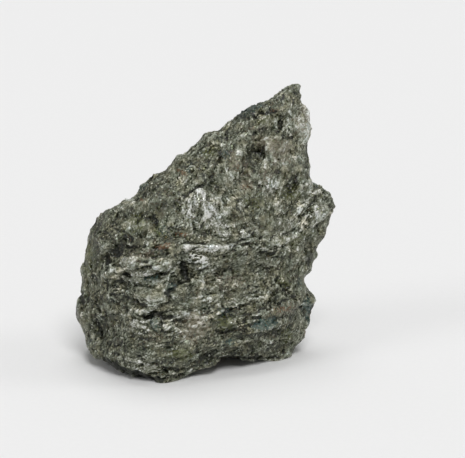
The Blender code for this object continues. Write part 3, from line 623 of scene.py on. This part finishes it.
# Lines: half width, strength, then x, h of each place that it runs through
strokes = {
    "cracks": [
        (0.3, 1.0, -16.9, 18.8, -15.7, 18.5), (0.26, 1.0, -16.4, 17.0, -15.8, 16.8),
        (0.45, 0.9, -18.9, 16.9, -17.2, 17.2, -16.0, 16.6),
        (0.3, 0.8, -12.4, 17.6, -11.0, 18.2, -9.6, 18.8), (0.28, 1.0, -9.4, 18.9, -8.1, 18.6),
        (0.3, 0.7, -14.8, 16.4, -13.2, 15.9, -11.4, 16.1), (0.3, 0.7, -14.2, 20.1, -11.6, 20.1),
        (0.45, 0.9, -20.4, 22.6, -20.6, 20.6, -20.4, 19.6),
        (0.6, 0.8, -18.6, 22.6, -17.4, 24.6, -16.9, 26.4), (0.4, 0.8, -19.8, 14.4, -17.2, 14.2),
        (0.45, 0.9, -16.8, 13.6, -14.6, 12.6, -12.6, 11.8), (0.35, 0.7, -22.4, 12.0, -22.2, 10.6),
        (0.3, 0.7, -21.0, 11.8, -20.8, 10.6), (0.35, 0.9, -16.9, 11.6, -16.6, 10.2),
        (0.5, 1.0, -22.8, 8.2, -22.2, 6.8, -21.7, 5.6), (0.28, 0.5, -14.6, 9.9, -13.0, 9.5, -11.8, 8.9),
        (0.5, 1.0, -9.3, 9.7, -8.6, 9.4), (0.5, 1.0, -7.6, 9.8, -6.3, 9.6),
        (0.25, 0.6, -9.2, 8.8, -9.0, 6.4), (0.3, 0.6, -13.8, 5.0, -10.6, 4.6),
        (0.3, 0.8, -8.0, 5.4, -6.4, 5.2, -5.2, 5.6), (0.35, 0.7, -19.4, 2.0, -17.0, 1.4, -15.4, 1.0),
        (0.25, 0.6, -16.6, 8.9, -14.9, 8.9), (0.5, 0.9, -25.9, 14.2, -25.6, 12.6),
        (0.3, 0.6, -18.0, 9.8, -17.7, 8.6), (0.3, 0.6, -20.7, 8.8, -20.6, 6.4),
        (0.35, 0.8, -7.8, 14.2, -7.4, 13.2), (0.5, 1.0, -8.6, -1.3, -7.2, -1.5, -5.9, -1.8),
        (0.5, 1.0, -21.4, 0.4, -18.4, -1.0, -15.3, -2.2, -12.4, -3.1, -9.0, -3.9),
        (0.55, 1.0, -4.9, 21.0, -4.6, 19.8, -3.9, 18.2, -3.4, 17.2),
        (0.4, 0.9, -3.4, 16.9, -5.4, 16.5, -8.0, 14.9), (0.24, 0.5, -3.4, 23.3, -1.0, 23.1, 0.8, 22.7),
        (0.26, 0.5, 5.2, 23.6, 3.8, 22.3, 1.6, 20.8), (0.24, 0.7, 5.8, 24.2, 7.0, 24.7, 9.2, 25.0),
        (0.3, 0.7, 4.8, 17.7, 6.6, 17.7), (0.25, 0.6, 3.2, 16.6, 3.6, 15.4),
        (0.3, 0.6, 5.4, 19.4, 5.9, 18.9), (0.55, 1.0, 4.0, 10.9, 5.4, 11.0, 7.0, 11.5),
        (0.3, 0.7, 7.0, 11.6, 8.8, 12.2),
        (0.3, 0.9, 9.0, 10.1, 12.8, 11.2, 14.4, 11.8, 16.2, 12.8, 17.8, 13.5),
        (0.45, 1.0, 10.2, 9.2, 11.6, 9.3), (0.3, 0.8, 9.8, 7.9, 11.4, 8.2),
        (0.3, 0.9, 6.8, 8.3, 8.0, 8.3, 8.5, 9.2), (0.4, 0.8, 0.1, 5.5, 0.6, 4.9),
        (0.35, 0.8, -3.2, 11.1, -2.7, 10.6), (0.25, 0.7, -6.0, 8.8, -4.0, 8.9),
        (0.45, 0.9, 14.9, 17.6, 15.5, 16.5, 17.4, 16.1), (0.35, 0.8, 16.5, 15.4, 17.2, 14.4, 18.4, 13.7),
        (0.3, 0.8, 20.0, 11.5, 21.6, 11.6, 22.4, 11.8), (0.25, 0.7, 16.4, 5.6, 19.2, 5.4),
        (0.3, 0.7, 15.6, 4.6, 17.2, 4.5), (0.4, 1.0, 3.0, 0.9, 9.0, 0.8, 15.6, 0.9),
        (0.4, 1.0, -4.6, 34.9, -3.6, 35.4, -2.8, 36.3, -1.2, 37.1, 0.2, 37.3, 1.6, 37.5),
        (0.45, 0.8, 1.1, 38.2, 1.6, 39.8, 1.9, 41.0), (0.3, 0.7, 0.5, 34.8, 0.9, 34.0),
        (0.2, 0.7, -2.6, 35.4, -2.5, 32.6), (0.4, 0.9, -2.2, 29.8, -2.0, 27.4),
        (0.4, 0.8, 0.3, 27.4, 0.0, 26.2), (0.4, 0.9, -12.4, 30.3, -11.2, 30.5, -10.4, 29.6, -10.2, 28.6),
        (0.35, 0.8, -11.5, 25.9, -10.4, 25.7, -9.9, 26.4), (0.3, 0.6, -8.2, 35.2, -6.8, 35.3),
        (0.5, 0.8, -17.0, 27.2, -15.4, 25.8), (0.3, 0.7, -16.8, 24.4, -12.6, 24.4),
        (0.5, 0.8, -14.2, 36.2, -12.4, 37.6, -11.2, 39.0), (0.2, 0.6, -0.9, 33.4, -0.8, 30.8),
        (0.35, 1.0, 6.6, 51.6, 9.0, 51.4, 11.0, 51.5), (0.3, 0.9, 10.8, 52.2, 12.4, 52.4, 14.2, 52.9),
        (0.45, 1.0, 16.0, 50.8, 15.8, 49.6, 15.4, 48.7), (0.4, 1.0, 16.1, 55.5, 16.5, 56.0),
        (0.35, 0.9, 11.5, 49.0, 12.6, 48.9), (0.4, 0.9, 9.6, 47.8, 10.5, 48.3),
        (0.3, 0.9, 13.4, 52.9, 14.8, 52.8), (0.35, 0.7, 12.2, 46.2, 12.0, 45.0, 11.5, 43.8),
        (0.35, 0.6, 10.1, 45.8, 10.3, 44.4, 11.1, 43.8), (0.35, 0.8, 16.6, 47.4, 18.4, 47.2),
        (0.3, 0.6, 13.4, 42.4, 14.4, 41.6), (0.35, 0.6, 3.4, 44.8, 3.2, 42.6),
        (0.35, 0.8, 8.0, 39.7, 9.4, 39.2), (0.3, 0.7, 10.4, 37.7, 11.2, 36.9),
        (0.5, 0.8, 17.4, 37.0, 18.6, 36.3, 17.2, 34.8), (0.45, 0.8, 23.6, 34.5, 21.8, 32.6, 20.3, 30.5),
        (0.45, 1.0, 26.6, 32.8, 26.9, 32.1), (0.3, 0.9, 23.0, 36.8, 24.6, 36.8, 25.8, 36.1),
        (0.3, 0.7, 20.6, 28.7, 21.8, 28.2), (0.3, 0.7, 20.4, 27.2, 21.4, 26.6),
        (0.3, 0.8, 8.8, 27.4, 10.2, 27.2), (0.25, 0.6, 8.2, 28.1, 9.4, 28.1),
        (0.3, 0.6, 14.0, 22.4, 18.6, 22.2), (0.25, 0.6, 5.0, 31.0, 6.4, 30.4),
        (0.3, 0.6, 8.4, 31.6, 9.0, 30.6), (0.25, 0.6, 12.6, 33.4, 12.8, 31.6),
    ],
    "veins": [
        (0.4, 0.9, -1.9, 35.4, -2.1, 33.6), (0.35, 1.0, -0.6, 36.2, 0.1, 34.8),
        (0.4, 1.0, 0.8, 33.2, 1.8, 32.4, 2.8, 30.8), (0.35, 0.8, 0.2, 32.4, 1.0, 30.4),
        (0.3, 0.6, -4.6, 32.6, -3.4, 30.6), (0.25, 0.9, -6.1, 30.4, -5.9, 30.7),
        (0.25, 0.6, -3.8, 30.6, -4.6, 28.6), (0.3, 0.7, 2.4, 29.4, 3.0, 27.0),
        (0.3, 0.8, 3.2, 26.6, 4.2, 25.8), (0.25, 0.9, 4.1, 29.0, 4.5, 28.9),
        (0.25, 0.5, -3.6, 34.6, -3.4, 32.6), (0.25, 0.6, 1.4, 34.6, 3.6, 34.0),
        (0.22, 0.5, -4.6, 24.1, -3.0, 24.4, -1.6, 24.5), (0.24, 0.5, -1.0, 24.3, 0.4, 24.0, 1.4, 23.5),
        (0.22, 0.4, 1.6, 24.5, 5.4, 24.3), (0.22, 0.6, 2.8, 22.9, 4.4, 23.3),
        (0.22, 0.6, -4.2, 22.4, -2.4, 22.2), (0.22, 0.7, -2.2, 21.9, 0.4, 21.9),
        (0.24, 0.6, -0.4, 20.8, 0.4, 20.8), (0.24, 0.6, -0.9, 20.1, 0.2, 19.9),
        (0.24, 0.6, -9.2, 19.3, -8.2, 19.6, -7.6, 20.2), (0.2, 0.6, -7.3, 21.0, -6.4, 21.6),
        (0.22, 0.6, -17.8, 21.0, -16.2, 21.7, -14.8, 22.2), (0.22, 0.5, -17.2, 20.4, -15.4, 20.8),
        (0.35, 0.8, -18.9, 18.2, -18.2, 17.6), (0.3, 0.6, 6.6, 23.6, 8.6, 23.9),
        (0.3, 0.8, 8.0, 23.4, 8.6, 22.9), (0.35, 0.7, 12.0, 23.9, 14.2, 23.4),
        (0.3, 0.7, 8.4, 28.8, 9.6, 29.0), (0.3, 0.8, 7.6, 27.4, 8.2, 27.2),
        (0.35, 0.8, 8.2, 26.3, 9.6, 26.4), (0.25, 0.9, 16.0, 27.4, 16.6, 26.6, 17.2, 26.2),
        (0.4, 0.9, 13.2, 38.4, 13.1, 36.8, 13.8, 35.6), (0.3, 0.8, 14.7, 37.2, 14.4, 36.4),
        (0.3, 0.8, 6.2, 38.0, 7.0, 37.6), (0.35, 0.8, 8.0, 37.4, 9.4, 37.0),
        (0.4, 0.6, 4.4, 40.8, 5.4, 40.2), (0.3, 0.6, 2.6, 46.2, 5.2, 45.4, 7.4, 44.0),
        (0.25, 0.6, 10.8, 41.6, 10.6, 40.4), (0.35, 0.6, 13.6, 44.8, 14.4, 43.4, 15.8, 43.2),
        (0.3, 0.4, 12.7, 45.6, 12.9, 42.6), (0.3, 0.5, 10.6, 46.7, 14.6, 46.9),
        (0.42, 1.0, 17.8, 52.8, 18.9, 51.4, 20.2, 50.2),
        (0.45, 0.7, 20.8, 54.2, 21.4, 52.4, 21.7, 50.0, 21.4, 46.6), (0.25, 0.5, 17.4, 54.4, 20.0, 54.7),
        (0.35, 0.8, 20.8, 33.6, 21.4, 32.6), (0.25, 0.7, 19.6, 37.0, 19.9, 35.6),
        (0.25, 0.7, 20.4, 34.8, 22.6, 34.3), (0.25, 0.6, 22.8, 31.2, 24.6, 32.6),
        (0.25, 0.6, 23.0, 28.4, 24.4, 30.0), (0.25, 0.5, 21.6, 26.6, 22.4, 27.6),
        (0.35, 0.6, 20.6, 21.7, 23.2, 22.5), (0.35, 0.9, 0.6, 13.3, 1.4, 13.3),
        (0.3, 0.8, 2.6, 12.2, 3.0, 11.6), (0.3, 0.8, 2.8, 17.3, 3.2, 17.1),
        (0.35, 0.7, 2.6, 10.2, 3.7, 10.7), (0.3, 1.0, -4.2, 8.4, -3.4, 8.0),
        (0.35, 0.8, -3.2, 7.9, -2.2, 7.8), (0.3, 0.7, -8.6, 7.4, -7.8, 6.8),
        (0.3, 0.6, 6.2, 8.6, 6.8, 8.8), (0.25, 0.7, 9.6, 9.9, 11.4, 10.0),
        (0.3, 0.9, 12.8, 11.7, 13.4, 11.6), (0.25, 0.8, 9.4, 7.0, 12.8, 7.2, 14.0, 7.6),
        (0.25, 0.7, 13.4, 8.6, 14.0, 8.0), (0.35, 1.0, 16.4, 3.2, 16.6, 3.1),
        (0.25, 0.9, 12.2, 4.5, 12.6, 4.4), (0.25, 0.8, 8.4, 5.7, 8.6, 5.6),
        (0.25, 0.6, 2.0, 5.2, 3.4, 5.2), (0.25, 0.7, 4.0, 14.9, 5.2, 15.1),
        (0.25, 0.5, 10.8, 14.2, 13.4, 14.0), (0.25, 0.7, 6.4, 12.3, 7.4, 12.4),
        (0.25, 1.0, 16.1, 17.8, 16.4, 17.4), (0.3, 1.0, -6.7, -2.1, -6.4, -2.1),
        (0.3, 0.5, -15.2, -0.4, -13.0, -1.0), (0.3, 0.5, -12.0, -2.0, -10.4, -2.6),
        (0.3, 0.6, -8.8, -0.4, -8.2, -0.6), (0.3, 0.5, -3.8, -1.2, -3.0, -1.8),
        (0.3, 0.6, -14.8, 10.9, -12.0, 10.7), (0.3, 0.5, -17.6, 7.2, -16.2, 6.9),
        (0.3, 0.5, -15.0, 8.2, -12.6, 7.4), (0.25, 0.6, 5.0, 34.8, 6.2, 34.3),
        (0.3, 0.6, 7.8, 34.0, 8.2, 33.4), (0.25, 0.5, 12.0, 32.4, 11.9, 31.4),
    ],
}


def strokeMask(front, lines, seed):
    # near 1 along each line and 0 away from it: its half width against the distance to its nearest
    # stretch, both made uneven by noise, as is its strength; nothing on the back
    size, reach = stone["shake"]
    shake = np.stack([softNoise(front / size, seed), softNoise(front / size, seed + 1)], -1)
    at = front[:, :2] + reach * shake
    mask = np.zeros(len(front))
    for width, strength, *places in lines:
        line, distance = np.reshape(places, (-1, 2)), np.full(len(front), np.inf)
        for start, end in zip(line, line[1:]):
            run = np.subtract(end, start)
            share = np.clip((at - start) @ run / (run @ run), 0.0, 1.0)
            distance = np.minimum(distance, np.hypot(*(at - start - share[:, None] * run).T))
        mask = np.maximum(mask, strength * softStep(width - distance, -0.25, 0.25))
    mask = mask * (0.45 + 0.55 * patchy(front, seed + 2, "lines"))
    return mask * (1.0 - softStep(front[:, 2], *stone["linesEnd"]))


def patchMask(front, places, seed):
    # near 1 inside each ellipse and 0 outside it, with an edge ragged by noise. Behind, where
    # nothing is placed, the same kind of patch comes where slow noise is high.
    ragged = 0.5 * layeredNoise(front / stone["patchEdge"], seed)
    behind = softStep(front[:, 2], *stone["patchesEnd"])
    slow = softNoise(front / stone["patchesBehind"], seed + 7)
    mask = stone["behindStrength"] * softStep(slow + 0.5 * ragged, *stone["behindFrom"]) * behind
    for x, h, length, width, tilt, strength in places:
        along, aside = fromMiddle(front, x, h, tilt)
        inside = softStep(1.45 - np.hypot(along / length, aside / width) + ragged, 0.0, 0.9)
        mask = np.maximum(mask, strength * inside * (1.0 - behind))
    return mask


def shaped(mesh):
    # raises and cuts the mesh and gives the masks of its material: the nudges move the points, the
    # relief lifts them along their normals, and nothing goes below the table
    points, normals = nudged(rowsOf(mesh.vertices, "co")), rowsOf(mesh.vertex_normals, "vector")
    front = frontFrame(points)
    seen, zones = asSeen(front), grainZones(front)
    cracks, veins = (strokeMask(seen, lines, 300 + 10 * k) for k, lines in enumerate(strokes.values()))
    raised, grooves, shardPale, shardCalm = shardShapes(seen)
    calm = np.maximum(patchMask(seen, patches["calm"], 260), shardCalm)
    relief, faces, gaps = stoneRelief(front, zones, cracks, veins, calm, raised, grooves)
    resting = softStep(points[:, 2] / mm, *stone["flatFoot"])
    points += normals * (relief * resting * mm)[:, None]
    points[:, 2] = np.maximum(points[:, 2], 0.0)
    mesh.vertices.foreach_set("co", points.astype(np.float32).ravel())
    mesh.update()

    ends, normals = rowsOf(mesh.edges, "vertices", 2, np.int32), rowsOf(mesh.vertex_normals, "vector")
    masks = {**zones, "faces": faces}
    # crest masks: used to lighten crests and darken hollows in the colour, as painted highlight and painted
    # shade
    for name, rounds in stone["crests"].items():
        masks[name] = crest(points, normals, ends, rounds)
    for k, (name, places) in enumerate(patches.items()):
        masks[name] = calm if name == "calm" else patchMask(seen, places, 200 + 10 * k)
    # the dark mask also takes painted shade in the cracks, gaps, slots and grooves
    masks["dark"] = np.maximum.reduce([masks["dark"], cracks, stone["gapPaintedShade"] * gaps])
    masks["pale"] = np.maximum.reduce([masks["pale"], stone["veinPale"] * veins, shardPale])
    return masks


def makeStone():
    mesh = evened(mergedCopy(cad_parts["ferrokesterite"]), stone["mesh"], stone["smoothing"])
    for name, values in shaped(mesh).items():
        addMask(mesh, name, values)
        print("mask", name, "mean", round(float(values.mean()), 3), "spread", round(float(values.std()), 3))
    mesh.materials.append(rockMaterial())
    mesh.shade_smooth()
    rock = linked("rock", mesh)
    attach(rock, "root")
    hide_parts("ferrokesterite")
    print("stone:", len(mesh.polygons), "faces")


def setInput(tree, socket, value):
    if isinstance(value, bpy.types.NodeSocket):
        tree.links.new(value, socket)
    else:
        socket.default_value = (*value, 1.0) if socket.type == "RGBA" else value


def addNode(tree, kind, inputs=None, **settings):
    node = tree.nodes.new(kind)
    for name, value in settings.items():
        setattr(node, name, value)
    for name, value in (inputs or {}).items():
        setInput(tree, node.inputs[name], value)
    return node


def mathNode(tree, operation, *values):
    return addNode(tree, "ShaderNodeMath", dict(enumerate(values)), operation=operation).outputs[0]


def vectorNode(tree, operation, first, second=None):
    node = addNode(tree, "ShaderNodeVectorMath", {0: first}, operation=operation)
    if second is not None:
        setInput(tree, node.inputs["Scale"] if operation == "SCALE" else node.inputs[1], second)
    return node.outputs["Vector"]


def noiseNode(tree, place, scale, detail, roughness=0.5):
    inputs = {"Vector": place, "Scale": scale, "Detail": detail, "Roughness": roughness}
    return addNode(tree, "ShaderNodeTexNoise", inputs)


def mixColour(tree, share, first, second, blend="MIX"):
    # sockets 6 and 7 of this node are its two colours, 4 and 5 its two vectors
    inputs = {0: share, 6: first, 7: second}
    return addNode(tree, "ShaderNodeMix", inputs, data_type="RGBA", blend_type=blend).outputs[2]


def mixVector(tree, share, first, second):
    inputs = {0: share, 4: first, 5: second}
    return addNode(tree, "ShaderNodeMix", inputs, data_type="VECTOR").outputs[1]


def rampNode(tree, value, *stops):
    node = addNode(tree, "ShaderNodeValToRGB", {"Fac": value})
    ramp = node.color_ramp
    while len(ramp.elements) < len(stops):
        ramp.elements.new(0.5)
    for element, (position, colour) in zip(ramp.elements, stops):
        element.position, element.color = position, (*colour, 1.0)
    return node.outputs["Color"]


def rangeNode(tree, value, fromLow, fromHigh, toLow, toHigh):
    values = {0: value, 1: fromLow, 2: fromHigh, 3: toLow, 4: toHigh}
    return addNode(tree, "ShaderNodeMapRange", values, clamp=True).outputs[0]


def arrange(tree):
    # sets the nodes out in columns, each node to the left of all that it feeds
    columns = dict.fromkeys(tree.nodes.keys(), 0)
    for _ in tree.nodes:
        for link in tree.links:
            left, right = link.from_node.name, link.to_node.name
            columns[left] = max(columns[left], columns[right] + 1)
    filled = {}
    for name, column in columns.items():
        tree.nodes[name].location = (-250 * column, -350 * filled.get(column, 0))
        filled[column] = filled.get(column, 0) + 1


def newMaterial(name):
    material = bpy.data.materials.new(name)
    material.use_nodes = True
    return material, material.node_tree, material.node_tree.nodes["Principled BSDF"]


def grainGroup():
    # a mass of crystal grains: each cell of a Voronoi pattern has its own shade and turns its
    # face its own way, by Tilt times a random direction added to the surface's normal
    tree = bpy.data.node_groups.new("crystal grains", "ShaderNodeTree")
    for name, kind in (("Vector", "Vector"), ("Scale", "Float"), ("Tilt", "Float"), ("Normal", "Vector")):
        tree.interface.new_socket(name, in_out="INPUT", socket_type="NodeSocket" + kind)
    for name, kind in (("Shade", "Float"), ("Chance", "Float"), ("Pick", "Float"), ("Normal", "Vector")):
        tree.interface.new_socket(name, in_out="OUTPUT", socket_type="NodeSocket" + kind)
    given = addNode(tree, "NodeGroupInput").outputs
    result = addNode(tree, "NodeGroupOutput").inputs
    pattern = {name: given[name] for name in ("Vector", "Scale")}
    cells = addNode(tree, "ShaderNodeTexVoronoi", pattern)
    parts = addNode(tree, "ShaderNodeSeparateColor", {"Color": cells.outputs["Color"]})
    centred = vectorNode(tree, "SUBTRACT", cells.outputs["Color"], (0.5, 0.5, 0.5))
    turned = vectorNode(tree, "SCALE", centred, given["Tilt"])
    added = vectorNode(tree, "ADD", turned, given["Normal"])
    tree.links.new(vectorNode(tree, "NORMALIZE", added), result["Normal"])
    for name, part in zip(("Shade", "Chance", "Pick"), parts.outputs):
        tree.links.new(part, result[name])
    arrange(tree)
    return tree


rockLook = {
    "black": (0.012, 0.014, 0.008), "dark": (0.056, 0.061, 0.036), "middle": (0.153, 0.162, 0.109),
    "light": (0.355, 0.368, 0.290), "white": (0.77, 0.78, 0.72),
    "rust": (0.20, 0.09, 0.035), "teal": (0.05, 0.105, 0.10),
    "olive": (0.13, 0.145, 0.045), "tan": (0.28, 0.24, 0.175),
    "warm": (1.07, 1.0, 0.88), "cool": (0.95, 1.0, 1.03), "silver": (0.995, 0.99, 1.035),
    "tintShare": 0.55,  # how much of a tinted grain's colour is the tint's
    "calmShare": 0.4,  # how much of the grains' contrast is left where it is calm
    "silverGrains": 0.35,  # how much contrast silver adds to the grains
    # glints are painted highlights: single grains set to a fixed lightness in the base colour
    "silverGlints": 0.04,  # how much likelier a glint is on silver
    "silverMetal": 0.4,  # how much likelier a metal flake is on silver
    "glint": 0.78,  # how light a glint is, 0 to 1
    "glintsFrom": (0.945, 0.965), "metalFrom": (0.72, 0.84),  # chances above these have them
    "specksBelow": (0.04, 0.14),  # chances below these are dark specks
    "warmFrom": (0.5, 0.68), "coolBelow": (0.5, 0.32),  # of the noise for the hues
    "metal": 0.9,  # how metallic a metal flake is
    "roughness": (0.28, 0.6),  # of the smoothest grain and of the roughest
    "grainsPerMetre": 3400, "grainTilt": 0.9,
    "flakesPerMetre": 2500, "flakeTilt": 0.8, "flakeShape": (2.2, 1.0, 1.4),
    "bendsPerMetre": 260.0, "bend": 0.0016,  # how the flakes' run bends, the second in metres
    "cloudsPerMetre": 330.0, "streaksPerMetre": 1300.0, "huesPerMetre": 420.0,
}

# How much each source adds to the lightness, 0 to 1: first those of the grains, from their own
# start, then the rest, from theirs
grainGains = {"start": -0.675, "flakes": 0.27, "grains": 0.33, "streaks": 0.80, "specks": -0.20}
# sharp and proud lighten crests and darken hollows: painted highlight and painted shade. dark and
# darkGrains carry the stone's own dark patches and painted shade in cracks, gaps, pockets and along the
# underside.
shadeGains = {
    "start": 0.03, "clouds": 0.75, "faces": 0.22, "sharp": 1.25, "proud": 0.5,
    "dark": -0.26, "darkGrains": -0.16, "pale": 0.22, "paleGrains": 0.20,
}


def grainMapping(tree, place, tilt, shape):
    # the place in a frame whose first axis runs up the front at this tilt, divided by shape
    turn = Matrix.Rotation(math.pi / 2 - leanAngle, 3, "X") @ Matrix.Rotation(math.radians(tilt), 3, "Z")
    inputs = {"Vector": place, "Rotation": turn.to_euler(), "Scale": shape}
    return addNode(tree, "ShaderNodeMapping", inputs, vector_type="TEXTURE").outputs[0]


def rockMaterial():
    material, tree, shader = newMaterial("massive sulphide")
    place = addNode(tree, "ShaderNodeTexCoord").outputs["Object"]
    normal = addNode(tree, "ShaderNodeNewGeometry").outputs["Normal"]
    masks = {}
    for name in ("low", "lobe", "slant", "faces", *stone["crests"], *patches):
        masks[name] = addNode(tree, "ShaderNodeAttribute", attribute_name=name).outputs["Fac"]

    # the place, bent a little and drawn out along the grain of its zone
    waves = noiseNode(tree, place, rockLook["bendsPerMetre"], 2.0).outputs["Color"]
    shift = vectorNode(tree, "SCALE", waves, rockLook["bend"])
    bent = vectorNode(tree, "ADD", place, shift)
    shape = rockLook["flakeShape"]
    flow = grainMapping(tree, bent, grain["high"], shape)
    for name in ("low", "lobe", "slant"):
        inside = mathNode(tree, "GREATER_THAN", masks[name], 0.5)
        own = grainMapping(tree, bent, grain[name], shape)
        flow = mixVector(tree, inside, flow, own)

    grains = grainGroup()

    def grainNode(vector, scale, tilt, under):
        inputs = {"Vector": vector, "Scale": scale, "Tilt": tilt, "Normal": under}
        return addNode(tree, "ShaderNodeGroup", inputs, node_tree=grains).outputs

    flakes = grainNode(flow, rockLook["flakesPerMetre"], rockLook["flakeTilt"], normal)
    fine = grainNode(place, rockLook["grainsPerMetre"], rockLook["grainTilt"], flakes["Normal"])
    clouds = noiseNode(tree, place, rockLook["cloudsPerMetre"], 5.0, 0.6).outputs[0]
    streaks = noiseNode(tree, flow, rockLook["streaksPerMetre"], 2.0, 0.6).outputs[0]
    silver = masks["silver"]
    luck = mathNode(tree, "MULTIPLY_ADD", silver, rockLook["silverGlints"], fine["Chance"])
    glints = rangeNode(tree, luck, *rockLook["glintsFrom"], 0.0, 1.0)
    specks = rangeNode(tree, fine["Chance"], *rockLook["specksBelow"], 1.0, 0.0)

    def byGrain(mask, grainsTaken):
        # a patch takes whole grains: the share of grains that it takes is as high as its mask
        left = mathNode(tree, "SUBTRACT", mask, grainsTaken["Pick"])
        return rangeNode(tree, left, -0.12, 0.12, 0.0, 1.0)

    # how light the stone is, from 0 to 1: the grains' share of it, quieter where the stone is calm,
    # then each of the others times its gain
    sources = {"flakes": flakes["Shade"], "grains": fine["Shade"], "streaks": streaks, "specks": specks}
    grainy = grainGains["start"]
    for name, source in sources.items():
        grainy = mathNode(tree, "MULTIPLY_ADD", source, grainGains[name], grainy)
    quiet = rangeNode(tree, masks["calm"], 0.0, 1.0, 1.0, rockLook["calmShare"])
    lively = mathNode(tree, "MULTIPLY_ADD", silver, rockLook["silverGrains"], quiet)
    shade = mathNode(tree, "MULTIPLY_ADD", grainy, lively, shadeGains["start"])
    # sharp and proud add painted highlight on crests and painted shade in hollows; dark adds painted shade
    # as well as the stone's own dark patches
    sources = {
        "clouds": clouds, "faces": masks["faces"], "sharp": masks["sharp"], "proud": masks["proud"],
        "dark": masks["dark"], "darkGrains": byGrain(masks["dark"], fine),
        "pale": masks["pale"], "paleGrains": byGrain(masks["pale"], flakes),
    }
    for name, source in sources.items():
        shade = mathNode(tree, "MULTIPLY_ADD", source, shadeGains[name], shade)
    # painted glints: a few grains lifted to a fixed lightness, in dark patches too
    bright = mathNode(tree, "MULTIPLY", glints, rockLook["glint"])
    shade = mathNode(tree, "MAXIMUM", shade, bright)
    tones = ("black", "dark", "middle", "light", "white")
    ground = rampNode(tree, shade, *((k / 4, rockLook[name]) for k, name in enumerate(tones)))

    # hues: slow warm and cool clouds, and the tinted patches
    hues = noiseNode(tree, place, rockLook["huesPerMetre"], 3.0).outputs[0]
    plain = rangeNode(tree, silver, 0.0, 0.6, 1.0, 0.0)
    warmth = rangeNode(tree, hues, *rockLook["warmFrom"], 0.0, 1.0)
    warmth = mathNode(tree, "MULTIPLY", warmth, plain)
    coolness = rangeNode(tree, hues, *rockLook["coolBelow"], 0.0, 1.0)
    colour = ground
    for name, share in {"warm": warmth, "cool": coolness, "silver": silver}.items():
        colour = mixColour(tree, share, colour, rockLook[name], "MULTIPLY")
    for name in ("tan", "olive", "teal", "rust"):
        tinted = mixColour(tree, rockLook["tintShare"], ground, rockLook[name])
        colour = mixColour(tree, byGrain(masks[name], fine), colour, tinted)
    # painted shadow: blackens the base colour where the underside and the deepest hollows lie in shade
    colour = mixColour(tree, masks["paintedShadow"], colour, rockLook["black"])

    # metal shows on scattered grains, and on more of them where the stone is silvery
    scatter = mathNode(tree, "MULTIPLY_ADD", silver, rockLook["silverMetal"], flakes["Chance"])
    metal = rangeNode(tree, scatter, *rockLook["metalFrom"], 0.0, rockLook["metal"])
    roughness = rangeNode(tree, fine["Chance"], 0.0, 1.0, *rockLook["roughness"])
    surface = {"Base Color": colour, "Metallic": metal, "Roughness": roughness, "Normal": fine["Normal"]}
    for name, value in surface.items():
        tree.links.new(value, shader.inputs[name])
    arrange(tree)
    return material


floorLook = {"cloudsPerMetre": 900.0, "tones": (0.80, 0.81), "roughness": 0.85, "shine": 0.15, "side": 10.0}


def floorMaterial():
    material, tree, shader = newMaterial("pale table")
    place = addNode(tree, "ShaderNodeTexCoord").outputs["Object"]
    cloud = noiseNode(tree, place, floorLook["cloudsPerMetre"], 3.0).outputs[0]
    low, high = ((grey,) * 3 for grey in floorLook["tones"])
    tone = rampNode(tree, cloud, (0.3, low), (0.7, high))
    tree.links.new(tone, shader.inputs["Base Color"])
    shader.inputs["Roughness"].default_value = floorLook["roughness"]
    shader.inputs["Specular IOR Level"].default_value = floorLook["shine"]
    arrange(tree)
    return material


def makeFloor():
    # a level square at the height of the stone's foot
    mesh = bpy.data.meshes.new("table top")
    half = floorLook["side"] / 2
    corners = [(-half, -half, 0), (half, -half, 0), (half, half, 0), (-half, half, 0)]
    mesh.from_pydata(corners, [], [(0, 1, 2, 3)])
    mesh.materials.append(floorMaterial())
    floor = linked("tableTop", mesh)


lights = {
    "sky": (0.265, (1.0, 1.0, 1.0)),  # strength, colour
    # the others: the direction that each comes from, how wide it looks in degrees, strength
    "front": ((0.14, -0.50, 0.76), 24.0, 1.46),
    "top": ((0.0, 0.26, 0.95), 36.0, 0.95),
    "left": ((-0.66, -0.34, 0.42), 20.0, 0.46),
    "right": ((0.62, 0.0, 0.46), 20.0, 0.36),
}


def makeLights():
    world = bpy.data.worlds.new("studio")
    world.use_nodes = True
    sky = world.node_tree.nodes["Background"]
    strength, tint = lights["sky"]
    sky.inputs["Color"].default_value, sky.inputs["Strength"].default_value = (*tint, 1.0), strength
    bpy.context.scene.world = world
    for name in ("front", "top", "left", "right"):
        origin, width, strength = lights[name]
        lamp = bpy.data.lights.new(name, "SUN")
        lamp.angle, lamp.energy = math.radians(width), strength
        thing = linked(name, lamp)
        thing.location = Vector(origin)
        thing.rotation_euler = (-Vector(origin)).to_track_quat("-Z", "Y").to_euler()


def makeCamera():
    data = bpy.data.cameras.new("camera")
    data.sensor_width = camera["sensor"]
    data.lens = camera["sensor"] * camera["distance"] / camera["imageWidth"]
    data.clip_start = camera["nearest"] * mm
    thing = linked("camera", data)
    tilt = math.radians(camera["elevation"])
    x, h = camera["aim"]
    aim = Vector((x + footMiddle[0], h * math.sin(tilt) + footMiddle[1], h * math.cos(tilt))) * mm
    away = Vector((0.0, -math.cos(tilt), math.sin(tilt)))
    thing.location = aim + away * camera["distance"] * mm
    thing.rotation_euler = (-away).to_track_quat("-Z", "Y").to_euler()
    bpy.context.scene.camera = thing


makeCamera()
makeLights()
makeFloor()
print("camera, lights and floor placed")
makeStone()
bpy.context.scene.view_settings.view_transform = "Standard"
bpy.context.view_layer.update()
